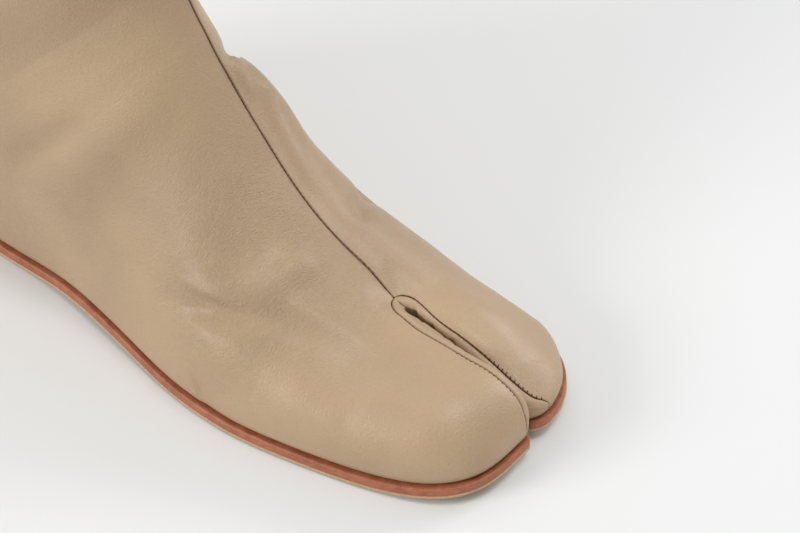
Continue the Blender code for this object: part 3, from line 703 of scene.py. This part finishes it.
# Folds, as soft troughs and ridges over the leather
# Side, height over the leather in toe heights, half width in ball widths, shares of its length over which it
# rises and falls, and its line of places: (row, share across). Rows under 0 lie over the toes, and count in
# cleft lengths from the cleft's end.
FOLDS = (
    # Lateral: the shaft's lowest ridge, rising to a crest beside the seam, and the hollow in front of it
    (-1, 0.038, 0.066, (0.3, 0.3),
     ((3.6, 0.44), (2.8, 0.483), (2.3, 0.539), (1.9, 0.607), (1.77, 0.713), (1.65, 0.783), (1.54, 0.867))),
    (-1, 0.022, 0.065, (0.4, 0.4), ((1.75, 0.68), (1.58, 0.76), (1.46, 0.84))),
    (-1, -0.014, 0.07, (0.3, 0.4), ((1.1, 0.86), (0.95, 0.78), (1.05, 0.69), (1.15, 0.62))),
    # Lateral: a narrow crease, the deep flexing fold under it, and the ridge between that and the cleft
    (-1, 0.011, 0.014, (0.4, 0.5), ((3.9, 0.4), (3.4, 0.422), (2.9, 0.45), (2.5, 0.472), (2.1, 0.489))),
    (-1, -0.016, 0.018, (0.4, 0.5), ((3.8, 0.375), (3.3, 0.4), (2.73, 0.433), (2.2, 0.457), (1.8, 0.483))),
    (-1, -0.052, 0.046, (0.25, 0.35),
     ((4.3, 0.28), (3.3, 0.35), (2.7, 0.393), (2.15, 0.447), (1.7, 0.5), (1.2, 0.557),
      (0.6, 0.567), (0.2, 0.547))),
    (-1, 0.026, 0.055, (0.3, 0.4),
     ((1.4, 0.606), (0.8, 0.661), (0.2, 0.683), (-0.12, 0.7), (-0.31, 0.705))),
    # Lateral: the full side under the fold, a hollow over the sole, and a low swelling ahead of it
    (-1, 0.052, 0.115, (0.3, 0.5),
     ((3.6, 0.22), (2.6, 0.28), (2.2, 0.3), (1.8, 0.327), (1.28, 0.383), (0.82, 0.388))),
    (-1, -0.03, 0.07, (0.1, 0.5), ((2.5, 0.03), (2.1, 0.065), (1.46, 0.12), (1.0, 0.165))),
    (-1, 0.018, 0.085, (0.4, 0.4), ((0.78, 0.179), (0.0, 0.246), (-0.27, 0.317))),
    # Medial: the long ridge beside the seam with its hollow, and the short overlap above it
    (1, 0.032, 0.034, (0.1, 0.4),
     ((5.34, 0.815), (4.5, 0.883), (3.72, 0.878), (3.0, 0.889), (2.28, 0.888))),
    (1, -0.022, 0.045, (0.3, 0.3), ((4.6, 0.79), (4.1, 0.8), (3.3, 0.79), (2.7, 0.76))),
    (1, 0.019, 0.018, (0.1, 0.3), ((6.26, 0.942), (5.75, 0.943), (4.83, 0.95))),
    (1, -0.022, 0.032, (0.1, 0.3), ((6.6, 0.82), (6.4, 0.843), (5.76, 0.864), (5.22, 0.901))),
    (1, -0.044, 0.036, (0.0, 0.3), ((7.0, 0.7), (6.85, 0.8), (6.73, 0.88), (6.45, 0.9))),
    # Medial: the shaft's full edge, the lobe's slope, the fold over the ball, the edge along the cleft
    (1, 0.046, 0.07, (0.2, 0.35),
     ((6.6, 0.84), (6.21, 0.862), (5.61, 0.831), (4.79, 0.78), (4.08, 0.71), (3.3, 0.69))),
    (1, -0.062, 0.125, (0.35, 0.5),
     ((0.1, 0.56), (-0.2, 0.53), (-0.45, 0.49), (-0.62, 0.465), (-0.76, 0.4), (-0.88, 0.24), (-0.96, 0.04))),
    (1, -0.052, 0.046, (0.1, 0.4), ((2.35, 0.38), (2.15, 0.46), (2.0, 0.54), (1.77, 0.717), (1.6, 0.835))),
    (1, -0.012, 0.016, (0.2, 0.4), ((1.85, 0.62), (1.62, 0.7), (1.4, 0.76))),
    (1, 0.014, 0.04, (0.3, 0.3), ((-0.24, 0.949), (-0.47, 0.961), (-0.71, 0.931))),
    (1, 0.012, 0.045, (0.4, 0.4), ((1.6, 0.947), (0.9, 0.948), (0.3, 0.917))),
    # Behind the shaft's front, where the photograph ends: a few soft flexing folds on both sides of the ankle
    (-1, -0.04, 0.06, (0.3, 0.3), ((8.5, 0.42), (8.2, 0.54), (8.3, 0.68))),
    (-1, -0.03, 0.05, (0.3, 0.3), ((10.8, 0.3), (10.4, 0.43), (10.6, 0.56))),
    (1, -0.04, 0.06, (0.3, 0.3), ((8.7, 0.4), (8.4, 0.53), (8.5, 0.66))),
    (1, -0.028, 0.05, (0.3, 0.3), ((11.0, 0.28), (10.6, 0.4), (10.8, 0.54))),
)

# Where the leather has flexed and is finely wrinkled: side, row, share across, radius in shares of the ball
# width, and how much
CREASED = (
    (-1, 2.80, 0.52, 0.24, 0.75), (-1, 2.20, 0.76, 0.20, 0.75), (-1, 3.60, 0.80, 0.20, 0.45),
    (-1, 1.40, 0.55, 0.20, 0.50), (-1, 2.20, 0.34, 0.22, 0.45), (-1, 0.00, 0.80, 0.16, 0.35),
    (-1, 9.50, 0.45, 0.30, 0.45), (1, 2.00, 0.62, 0.22, 0.60), (1, 4.60, 0.85, 0.18, 0.40),
    (1, 6.20, 0.86, 0.16, 0.45), (1, -0.30, 0.80, 0.16, 0.35), (1, 9.50, 0.45, 0.30, 0.45),
)
PLAIN_CREASE = 0.14
FOLD_STEPS = 40
FOLD_SHARPNESS = 1.2


def on_leather(side, row, share):
    """A point of the leather at a row, behind the cleft or over the toes."""
    if row >= 0:
        return panel_in_section(side, row, share)
    return panel_in_lobe(side, CLEFT_LENGTH * (1 + row), share)


def fold_field(points, sides):
    """Sum of all folds at each point."""
    total = np.zeros(len(points))
    for side, height, width, (start, end), places in FOLDS:
        rows, shares = columns(places, np.arange(len(places)))
        ts = np.linspace(0, len(places) - 1, FOLD_STEPS)
        line = np.array([on_leather(side, rows(t), min(max(shares(t), 0), 1)) for t in ts])
        near = sides * side > 0
        where = points[near]
        best = np.full(len(where), np.inf)
        at = np.zeros(len(where))
        for k in range(FOLD_STEPS - 1):
            step = line[k + 1] - line[k]
            share = np.clip(((where - line[k]) @ step) / max(step @ step, 1e-12), 0, 1)
            far = np.linalg.norm(where - line[k] - share[:, None] * step, axis=1)
            closer = far < best
            best[closer] = far[closer]
            at[closer] = ((k + share) / (FOLD_STEPS - 1))[closer]
        across = np.exp(-(best / (BALL_WIDTH * width)) ** 2 * FOLD_SHARPNESS)
        taper = (ease(at / start) if start else 1) * ease((1 - at) / end)
        total[near] += height * TOE_HEIGHT * across * taper
    return total


def crease_field(points, sides):
    """How finely wrinkled the leather is at each point."""
    total = np.full(len(points), PLAIN_CREASE)
    for side, row, share, radius, amount in CREASED:
        far = np.linalg.norm(points - np.array(on_leather(side, row, share)), axis=1) / (radius * BALL_WIDTH)
        total += amount * np.exp(-far ** 2) * (sides * side > 0)
    return np.minimum(total, 1.0)


def leather_frame(side, row, share):
    """A point of the leather, its outward direction, and the direction along the rows."""
    step = 0.004
    here = np.array(on_leather(side, row, share))
    along = np.array(on_leather(side, row + step, share)) - np.array(on_leather(side, row - step, share))
    low, high = max(share - step, 0.0), min(share + step, 1.0)
    across = np.array(on_leather(side, row, high)) - np.array(on_leather(side, row, low))
    out = np.cross(along, across) * side
    return here, out / np.linalg.norm(out), along / np.linalg.norm(along)


def edge_hollow(distance, half):
    """1 at an edge, 0 further from it than half, rounded over between them."""
    share = np.clip(distance / half, 0, 1)
    return 1 - np.sqrt(np.clip(1 - (1 - share) ** 2, 0, 1))


def ease(t):
    """The same for arrays as smooth is for numbers."""
    t = np.clip(t, 0, 1)
    return t * t * (3 - 2 * t)


# Materials
class Shader:
    """A small helper that makes and joins nodes."""

    def __init__(self, name):
        self.material = bpy.data.materials.new(name)
        self.material.use_nodes = True
        self.tree = self.material.node_tree
        self.shader = self.tree.nodes["Principled BSDF"]

    def node(self, kind, sockets, **values):
        made = self.tree.nodes.new(kind)
        for key, value in values.items():
            setattr(made, key, value)
        for key, value in sockets.items():
            self.link(value, made.inputs[key])
        return made

    def link(self, source, target):
        if isinstance(source, (int, float)):
            target.default_value = source
        elif isinstance(source, tuple):
            target.default_value = (*source, 1) if len(source) == 3 and target.type == "RGBA" else source
        else:
            self.tree.links.new(source, target)

    def math(self, operation, a, b=0.0):
        return self.node("ShaderNodeMath", {0: a, 1: b}, operation=operation).outputs[0]

    def times(self, a, b):
        return self.math("MULTIPLY", a, b)

    def plus(self, a, b):
        return self.math("ADD", a, b)

    def mix(self, share, a, b):
        return self.node("ShaderNodeMix", {0: share, 6: a, 7: b}, data_type="RGBA").outputs[2]

    def ramp(self, value, low, high):
        """0 below low, 1 above high."""
        sockets = {0: value, 1: low, 2: high}
        return self.node("ShaderNodeMapRange", sockets, interpolation_type="SMOOTHSTEP").outputs[0]

    def attribute(self, name, output="Fac"):
        return self.node("ShaderNodeAttribute", {}, attribute_name=name).outputs[output]

    def place(self):
        return self.node("ShaderNodeTexCoord", {}).outputs["Object"]

    def noise(self, where, scale, detail=3.0, rough=0.5, distort=0.0):
        sockets = {"Vector": where, "Scale": scale, "Detail": detail, "Roughness": rough}
        return self.node("ShaderNodeTexNoise", {**sockets, "Distortion": distort}).outputs[0]

    def cells(self, where, scale):
        return self.node("ShaderNodeTexVoronoi", {"Vector": where, "Scale": scale}).outputs["Distance"]

    def stretched(self, where, scale):
        return self.node("ShaderNodeMapping", {0: where, "Scale": scale}).outputs[0]

    def bump(self, height, distance, strength, before=None):
        sockets = {"Strength": strength, "Distance": distance, "Height": height}
        if before is not None:
            sockets["Normal"] = before
        return self.node("ShaderNodeBump", sockets).outputs[0]

    def look(self, tint, gloss, normal):
        for name, value in (("Base Color", tint), ("Roughness", gloss), ("Normal", normal)):
            self.link(value, self.shader.inputs[name])
        return self.material


def shade(colour, factor):
    return tuple(min(c * factor, 1.0) for c in colour)


def leather_material(name, colour, dark, roughness=0.42):
    """Smooth full-grain leather: fine pebble, stretched creases where it flexes, and a soft uneven sheen."""
    s = Shader(name)
    where = s.place()
    large = s.noise(where, 22.0, 2.0)
    cloudy = s.noise(where, 90.0, 4.0, 0.6)
    speck = s.noise(where, 1500.0, 2.0, 0.6)
    deeper = shade(colour, 0.90)
    tint = s.mix(s.ramp(large, 0.3, 0.7), deeper, shade(colour, 1.10))
    tint = s.mix(s.times(s.ramp(cloudy, 0.35, 0.65), 0.35), tint, colour)
    tint = s.mix(s.times(s.ramp(speck, 0.45, 0.8), 0.16), tint, deeper)

    pebble = s.cells(where, 2300.0)
    fine = s.noise(where, 5200.0, 2.0, 0.6)
    normal = s.bump(s.plus(s.times(pebble, 0.7), s.times(fine, 0.5)), 0.00005, 0.55)
    hide = s.noise(where, 1150.0, 3.0, 0.6, 0.3)
    normal = s.bump(s.ramp(hide, 0.35, 0.65), 0.00007, 0.9, normal)

    spread = s.attribute("grain", "Vector")
    sway = s.node("ShaderNodeVectorMath", {0: s.noise(where, 160.0, 2.0), 3: 3.0}, operation="SCALE")
    sockets = {0: s.stretched(spread, (2300.0, 900.0, 1.0)), 1: sway.outputs[0]}
    moved = s.node("ShaderNodeVectorMath", sockets, operation="ADD").outputs[0]
    lines = s.ramp(s.noise(moved, 1.0, 3.0, 0.55, 0.4), 0.3, 0.7)
    wide = s.noise(s.stretched(spread, (700.0, 260.0, 1.0)), 1.0, 2.0, 0.5, 0.6)
    crease = s.times(s.plus(lines, s.times(wide, 0.8)), s.attribute("crease"))
    normal = s.bump(crease, 0.00021, 0.85, normal)

    # The dark line, dashed at the stitch pitch: thread colour plus painted shade in the seam's groove
    parts = s.node("ShaderNodeSeparateXYZ", {0: spread})
    wave = s.math("SINE", s.times(parts.outputs[0], 2 * math.pi / STITCH_PITCH))
    dashes = s.plus(s.times(wave, 0.22), 0.74)
    tint = s.mix(s.times(s.attribute("dark"), dashes), tint, dark)

    s.shader.inputs["Coat Weight"].default_value = 0.22
    s.shader.inputs["Coat Roughness"].default_value = 0.33
    s.shader.inputs["Specular IOR Level"].default_value = 0.5
    return s.look(tint, s.plus(s.times(cloudy, 0.10), roughness - 0.05), normal)


def sole_material():
    """Sole leather with a stained edge: red-brown, with the raw tan layer under it."""
    s = Shader("sole_leather")
    where = s.place()
    mottle = s.noise(where, 260.0, 4.0, 0.65)
    fine = s.noise(where, 1400.0, 3.0, 0.6)
    red = s.mix(s.ramp(mottle, 0.3, 0.7), (0.31, 0.088, 0.038), (0.43, 0.150, 0.072))
    red = s.mix(s.times(s.ramp(fine, 0.5, 0.75), 0.4), red, (0.50, 0.22, 0.12))
    tan = s.mix(s.ramp(fine, 0.3, 0.7), (0.42, 0.29, 0.16), (0.54, 0.39, 0.24))
    line = s.plus(s.attribute("edge"), s.times(s.math("SUBTRACT", mottle, 0.5), 0.10))
    tint = s.mix(s.ramp(line, 0.30, 0.38), tan, red)
    normal = s.bump(s.plus(fine, s.times(mottle, 0.8)), 0.00012, 0.7)
    return s.look(tint, s.plus(s.times(mottle, 0.2), 0.36), normal)


def plain_leather(name, colour):
    """Matt leather for the inside."""
    s = Shader(name)
    where = s.place()
    spots = s.noise(where, 120.0, 4.0, 0.6)
    tint = s.mix(s.ramp(spots, 0.3, 0.7), shade(colour, 0.86), shade(colour, 1.1))
    grain = s.plus(s.noise(where, 900.0, 3.0, 0.6), s.cells(where, 1530.0))
    return s.look(tint, s.plus(s.times(spots, 0.15), 0.53), s.bump(grain, 0.00008, 0.7))


def thread_material(name, colour):
    s = Shader(name)
    twist = s.noise(s.place(), 3500.0, 2.0)
    tint = s.mix(s.ramp(twist, 0.3, 0.7), shade(colour, 0.7), colour)
    return s.look(tint, 0.7, s.bump(twist, 0.0001, 0.8))


BEIGE = (0.435, 0.299, 0.176)
# BROWN is the dark line's colour: thread, and painted shade in the seams' grooves
BROWN = (0.135, 0.054, 0.022)
leather = leather_material("upper_leather", BEIGE, BROWN)
band_leather = leather_material("band_leather", shade(BEIGE, 0.97), BROWN, roughness=0.44)
lining_leather = plain_leather("lining_leather", (0.58, 0.46, 0.33))
insole_leather = plain_leather("insole_leather", (0.55, 0.42, 0.28))
dark_thread = thread_material("dark_thread", (0.070, 0.033, 0.018))
beige_thread = thread_material("beige_thread", (0.42, 0.30, 0.18))
sole_leather = sole_material()


def give(obj, material, slot, *nodes):
    """Dresses a piece, and hides the nodes of the solids that it stands for."""
    obj.data.materials.clear()
    obj.data.materials.append(material)
    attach(obj, "root")
    if nodes:
        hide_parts(*nodes)


def thread(paths, radius, rings=7, corners=6):
    """Short threads: each path is (start, end, outward); it dives into the leather at both ends."""
    points, faces = [], []
    for start, end, out in paths:
        start, end, out = np.array(start), np.array(end), np.array(out)
        run = (end - start) / np.linalg.norm(end - start)
        side = np.cross(out, run)
        base = len(points)
        for k in range(rings):
            share = k / (rings - 1)
            middle = start + (end - start) * share + out * radius * (1.6 * math.sin(math.pi * share) - 0.9)
            thick = radius * (0.55 + 0.45 * math.sin(math.pi * share))
            for c in range(corners):
                angle = 2 * math.pi * c / corners
                points.append(middle + thick * (math.cos(angle) * side + math.sin(angle) * out))
        for k in range(rings - 1):
            for c in range(corners):
                a, b = base + k * corners + c, base + k * corners + (c + 1) % corners
                faces.append((a, b, b + corners, a + corners))
        faces.append(tuple(base + c for c in reversed(range(corners))))
        faces.append(tuple(base + (rings - 1) * corners + c for c in range(corners)))
    return points, faces


def line_strength(sides, back):
    """1, and less where the lateral stitch line beside the cleft fades towards the toe."""
    fade = LINE_FAINT + (1 - LINE_FAINT) * ease((back - FAINT_START) / FAINT_SPAN)
    return np.where(sides < 0, fade, 1.0)


# The upper: rows over the toes and the vamp have no back seam, which their distance from it says with 1.0
sheet = build_sheet()
points, normals, facts, grain, faces = sheet.arrays(PANELS)
sides = grain[:, 2]
seam_far, back_far, tight = facts.T
back = LENGTH / 2 - points[:, 0]
has_back = back_far < 0.5
behind = ease((back - CLEFT_LENGTH) / SEAM_START)
hollow = edge_hollow(seam_far, SEAM_HALF) * tight
raise_medial = np.exp(-(seam_far / SEAM_RAISE_REACH) ** 2) * SEAM_RAISE * behind * (sides > 0)
height = raise_medial - (SEAM_DEPTH * behind + BAND_GROOVE * (1 - behind)) * hollow
height -= SEAM_DEPTH * BACK_SEAM_SHARE * edge_hollow(back_far, SEAM_HALF) * has_back
height -= COLLAR_FOLD * edge_hollow(COLLAR_HEIGHT - points[:, 2], COLLAR_FOLD_HALF)
strength = line_strength(sides, back)
height *= np.where(seam_far < FAINT_REACH, LINE_FAINT + (1 - LINE_FAINT) * strength, 1.0)
# The dark line over the seam and stitch line: thread colour plus painted shade in the groove; the same on the
# back seam
dark = np.exp(-(seam_far / LINE_WIDTH) ** 2) * tight * LINE_DARK * strength
dark = np.maximum(dark, np.exp(-(back_far / LINE_WIDTH) ** 2) * has_back * BACK_LINE_DARK)
folds = fold_field(points, sides)
crease = crease_field(points, sides)

for side, name in ((-1, "quarter_lateral"), (1, "quarter_medial")):
    mine = [f for f in faces if sum(sides[i] for i in f) * side > 0]
    keep = sorted({i for f in mine for i in f})
    renumber = {old: new for new, old in enumerate(keep)}
    mine = [[renumber[i] for i in f] for f in mine]
    p, n, h, fold = points[keep], normals[keep], height[keep], folds[keep]
    obj = closed_shell(name, p + n * (h + fold)[:, None], p - n * (OUTER_WALL - fold)[:, None], mine,
                       {"grain": grain[keep], "crease": crease[keep], "dark": dark[keep]})
    give(obj, leather, "upper_leather", "upper")

# The band round the cleft
points, normals, facts, grain, faces = sheet.arrays(BAND)
sheet.bm.free()
back, sides = grain[:, 0], grain[:, 2]
across, tight = facts[:, 0], facts[:, 2]
height = -BAND_GROOVE * edge_hollow(across, BAND_GROOVE_HALF) * tight
for side, place, half, depth in PLEATS:
    pleat = np.exp(-((back - place * CLEFT_LENGTH) / half) ** 2) * (sides * side > 0)
    height -= depth * pleat * ease((across - PLEAT_START) / PLEAT_SPAN)
height += BAND_ROLL * np.sin(math.pi * np.clip(across / BAND_ROLL_REACH, 0, 1)) * tight
closing = ease((CLOSING_END * CLEFT_LENGTH - back) / (CLOSING_SPAN * CLEFT_LENGTH)) * ease(back / CLOSING_TIP)
height += SLIT_CLOSING * closing * ease((across - CLOSING_EDGE) / CLOSING_EDGE_SPAN)
# The dark line along the band's stitch line: thread colour plus painted shade in the groove beside it
dark = np.exp(-(across / LINE_WIDTH) ** 2) * tight * LINE_DARK * line_strength(sides, back)
obj = closed_shell("cleft_band", points + normals * height[:, None], points - normals * GUSSET_LEATHER, faces,
                   {"grain": grain, "crease": np.full(len(points), BAND_CREASE), "dark": dark})
give(obj, band_leather, "band_leather", "toe_gusset")

# The lining, which lies a little under the collar's edge
coarse = build_sheet(**COARSE)
points, normals, _, grain, faces = coarse.arrays(PANELS)
coarse.bm.free()
points[:, 2] -= np.where(points[:, 2] > COLLAR_HEIGHT - AT_COLLAR, LINING_DROP, 0.0)
slack = LINING_SLACK * ease((COLLAR_HEIGHT - points[:, 2]) / LINING_SLACK_SPAN)
fold = np.minimum(fold_field(points, grain[:, 2]), 0) - slack
obj = closed_shell("lining", points - normals * (LINING_IN - fold)[:, None],
                   points - normals * (LINING_OUT - fold)[:, None], faces)
give(obj, lining_leather, "upper_leather", "upper")


# Threads
def stitch_row(side, rows, share, lean, length):
    """Stitches at even distances over some rows, which start on a line of the leather and run off it."""
    ts = np.linspace(*rows, 300)
    run = run_along([on_leather(side, t, share) for t in ts])
    paths = []
    for distance in np.arange(STITCH_PITCH / 2, run[-1], STITCH_PITCH):
        here, out, along = leather_frame(side, float(np.interp(distance, run, ts)), share)
        across = np.cross(out, along)
        if across[1] * side < 0:
            across = -across
        way = across * math.cos(lean) + along * math.sin(lean)
        start = here - way * length * STITCH_OVERLAP
        paths.append((start, start + way * length, out))
    return paths


def row_at_height(side, share, z):
    """The row behind the heel at which the leather reaches a height."""
    low, high = float(HEEL_ROW), float(len(SECTIONS) - 1)
    for _ in range(24):
        middle = (low + high) / 2
        if panel_in_section(side, middle, share)[2] < z:
            low = middle
        else:
            high = middle
    return (low + high) / 2


def collar_row(side):
    """Stitches in line under the collar's edge, from seam to seam."""
    z = COLLAR_HEIGHT - COLLAR_STITCH_DROP
    shares = np.linspace(0.01, 0.99, 160)
    line = [leather_frame(side, row_at_height(side, share, z), share)[:2] for share in shares]
    spots, outs = (np.array(column) for column in zip(*line))
    run = run_along(spots)

    def at(distance, values):
        return np.array([np.interp(distance, run, values[:, k]) for k in range(3)])

    paths = []
    for start in np.arange(COLLAR_ENDS[0], run[-1] - COLLAR_ENDS[1], COLLAR_PITCH):
        out = at(start, outs)
        end = start + COLLAR_PITCH * COLLAR_STITCH_SHARE
        paths.append((at(start, spots), at(end, spots), out / np.linalg.norm(out)))
    return paths


ticks = stitch_row(1, TICK_ROWS, TICK_SHARE, TICK_LEAN, TICK_LENGTH)
give(mesh_object("medial_stitches", *thread(ticks, TICK_RADIUS)), dark_thread, "band_leather")
dots = stitch_row(-1, DOT_ROWS, DOT_SHARE, 0.0, DOT_LENGTH)
give(mesh_object("lateral_stitches", *thread(dots, DOT_RADIUS)), dark_thread, "band_leather")
collar = mesh_object("collar_stitches", *thread(collar_row(-1) + collar_row(1), COLLAR_THREAD))
give(collar, beige_thread, "upper_leather")

# Sole
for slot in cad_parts["insole"].material_slots:
    slot.material = insole_leather


def sole_rings(side):
    """The outsole's outline and its outward directions, from the slot's root round the tip to the heel."""
    root = SLIT_ROOT + SLOT_LEDGE
    cleft_half = SLIT_HALF_GAP + SLOT_LEDGE
    ahead = [root * ((1 - math.cos(math.pi * k / SOLE_AHEAD)) / 2) ** 1.2 for k in range(SOLE_AHEAD + 1)]
    behind = [math.sin(math.pi / 2 * k / SOLE_BEHIND) for k in range(SOLE_BEHIND + 1)]
    behind = [root + (LENGTH - root) * (0.5 * share + 0.5 * share ** 2) for share in behind]
    tip = LOBES[side]["tip"] * BALL_WIDTH

    def inner(back):
        half = cleft_half * rounded((root - back) / (ROOT_ROUND_SHARE * cleft_half))
        y = half + (tip - half) * (1 - rounded(back / (LOBES[side]["corner"] * TOE_HEIGHT)))
        return np.array((to_x(tip_back(side, back)), CLEFT_OFFSET + side * y))

    def outer(back):
        y = max(lobe_side(side, back), side * CLEFT_OFFSET + tip)
        y *= rounded((LENGTH - back) / (HEEL_WIDTH / 2))
        return np.array((to_x(tip_back(side, back)), side * y))

    points = [inner(back) for back in ahead[::-1]] + [outer(back) for back in ahead[1:] + behind[1:]]
    outward = []
    for i in range(len(points)):
        step = points[min(i + 1, len(points) - 1)] - points[max(i - 1, 0)]
        normal = np.array((step[1], -step[0])) * side
        outward.append(normal / np.linalg.norm(normal))
    outward[0], outward[-1] = np.array((1.0, 0.0)), np.array((-1.0, 0.0))
    return points, outward, root


def build_sole():
    """The outsole with a rounded tan lower layer and a red-brown edge above it."""
    bm = bmesh.new()
    layer = bm.verts.layers.float.new("edge")

    def vert(point, share):
        v = bm.verts.new((*point, share * SOLE_THICKNESS + sole_lift(LENGTH / 2 - point[0])))
        v[layer] = share
        return v

    for side in SIDES:
        points, outward, root = sole_rings(side)
        count = SOLE_AHEAD + 1

        def ring(i, reverse):
            row = [(points[i] + outward[i] * out * SOLE_THICKNESS, share) for share, out in SOLE_EDGE]
            return row[::-1] if reverse else row

        rows = []
        for k in range(count):
            inside, outside = ring(count - 1 - k, False), ring(count - 1 + k, True)
            top = [((inside[-1][0] + outside[0][0]) / 2, 1.0)]
            under = [((inside[0][0] + outside[-1][0]) / 2, 0.0)]
            rows.append([vert(*v) for v in inside + top + outside + under + inside[:1]])
        strips(bm, rows, side > 0)
        rows = []
        for i in range(2 * count - 2, len(points)):
            outside = ring(i, True)
            back = LENGTH / 2 - points[i][0]
            fade = smooth((back - root) / (LENGTH - root))
            top = under = np.array((to_x(back), CLEFT_OFFSET * (1 - fade)))
            if i == 2 * count - 2:
                top, under = ring(0, False)[-1][0], ring(0, False)[0][0]
            if i == len(points) - 1:
                top, under = outside[0][0], outside[-1][0]
            row = [(top, 1.0), ((top + outside[0][0]) / 2, 1.0)] + outside
            rows.append([vert(*v) for v in row + [((under + outside[-1][0]) / 2, 0.0), (under, 0.0)]])
        strips(bm, rows, side > 0)
    weld(bm)
    bmesh.ops.recalc_face_normals(bm, faces=bm.faces)
    mesh = bpy.data.meshes.new("sole")
    bm.to_mesh(mesh)
    bm.free()
    mesh.shade_smooth()
    return in_scene("sole", mesh)


give(build_sole(), sole_leather, "sole_leather", "outsole")

# Floor, light and camera
floor = mesh_object("floor", [(-4, -4, 0), (4, -4, 0), (4, 4, 0), (-4, 4, 0)], [(0, 1, 2, 3)])
paper = Shader("paper")
paper.shader.inputs["Base Color"].default_value = (0.76, 0.76, 0.75, 1)
paper.shader.inputs["Roughness"].default_value = 0.9
floor.data.materials.append(paper.material)


def aimed(name, data, place, target):
    obj = in_scene(name, data)
    obj.location = place
    obj.rotation_mode = "QUATERNION"
    obj.rotation_quaternion = (Vector(target) - Vector(place)).to_track_quat("-Z", "Y")
    return obj


def light(name, size, power, place, target):
    data = bpy.data.lights.new(name, "AREA")
    data.shape = "RECTANGLE"
    data.size, data.size_y = size
    data.energy = power
    aimed(name, data, place, target)


light("back", (1.2, 1.2), 4, (-0.70, 0.30, 1.80), (0, 0, 0.04))
light("top", (0.6, 0.6), 10.5, (0.55, 0.12, 1.80), (0, 0, 0.04))
light("lateral", (0.8, 0.5), 16, (-0.73, -1.40, 0.78), (0, 0, 0.04))
light("medial", (0.8, 0.6), 10.5, (0.50, 1.45, 0.85), (0, 0, 0.06))
bpy.context.scene.view_settings.view_transform = "Standard"
world = bpy.data.worlds.new("studio")
bpy.context.scene.world = world
world.use_nodes = True
background = world.node_tree.nodes["Background"]
background.inputs["Color"].default_value = (0.92, 0.94, 0.96, 1)
background.inputs["Strength"].default_value = 0.49

camera = bpy.data.cameras.new("camera")
camera.sensor_width = 36
camera.lens = 123.53
view = aimed("camera", camera, (0.43636, -0.45606, 0.63640), (0.04455, 0.04543, 0.0))
bpy.context.scene.camera = view
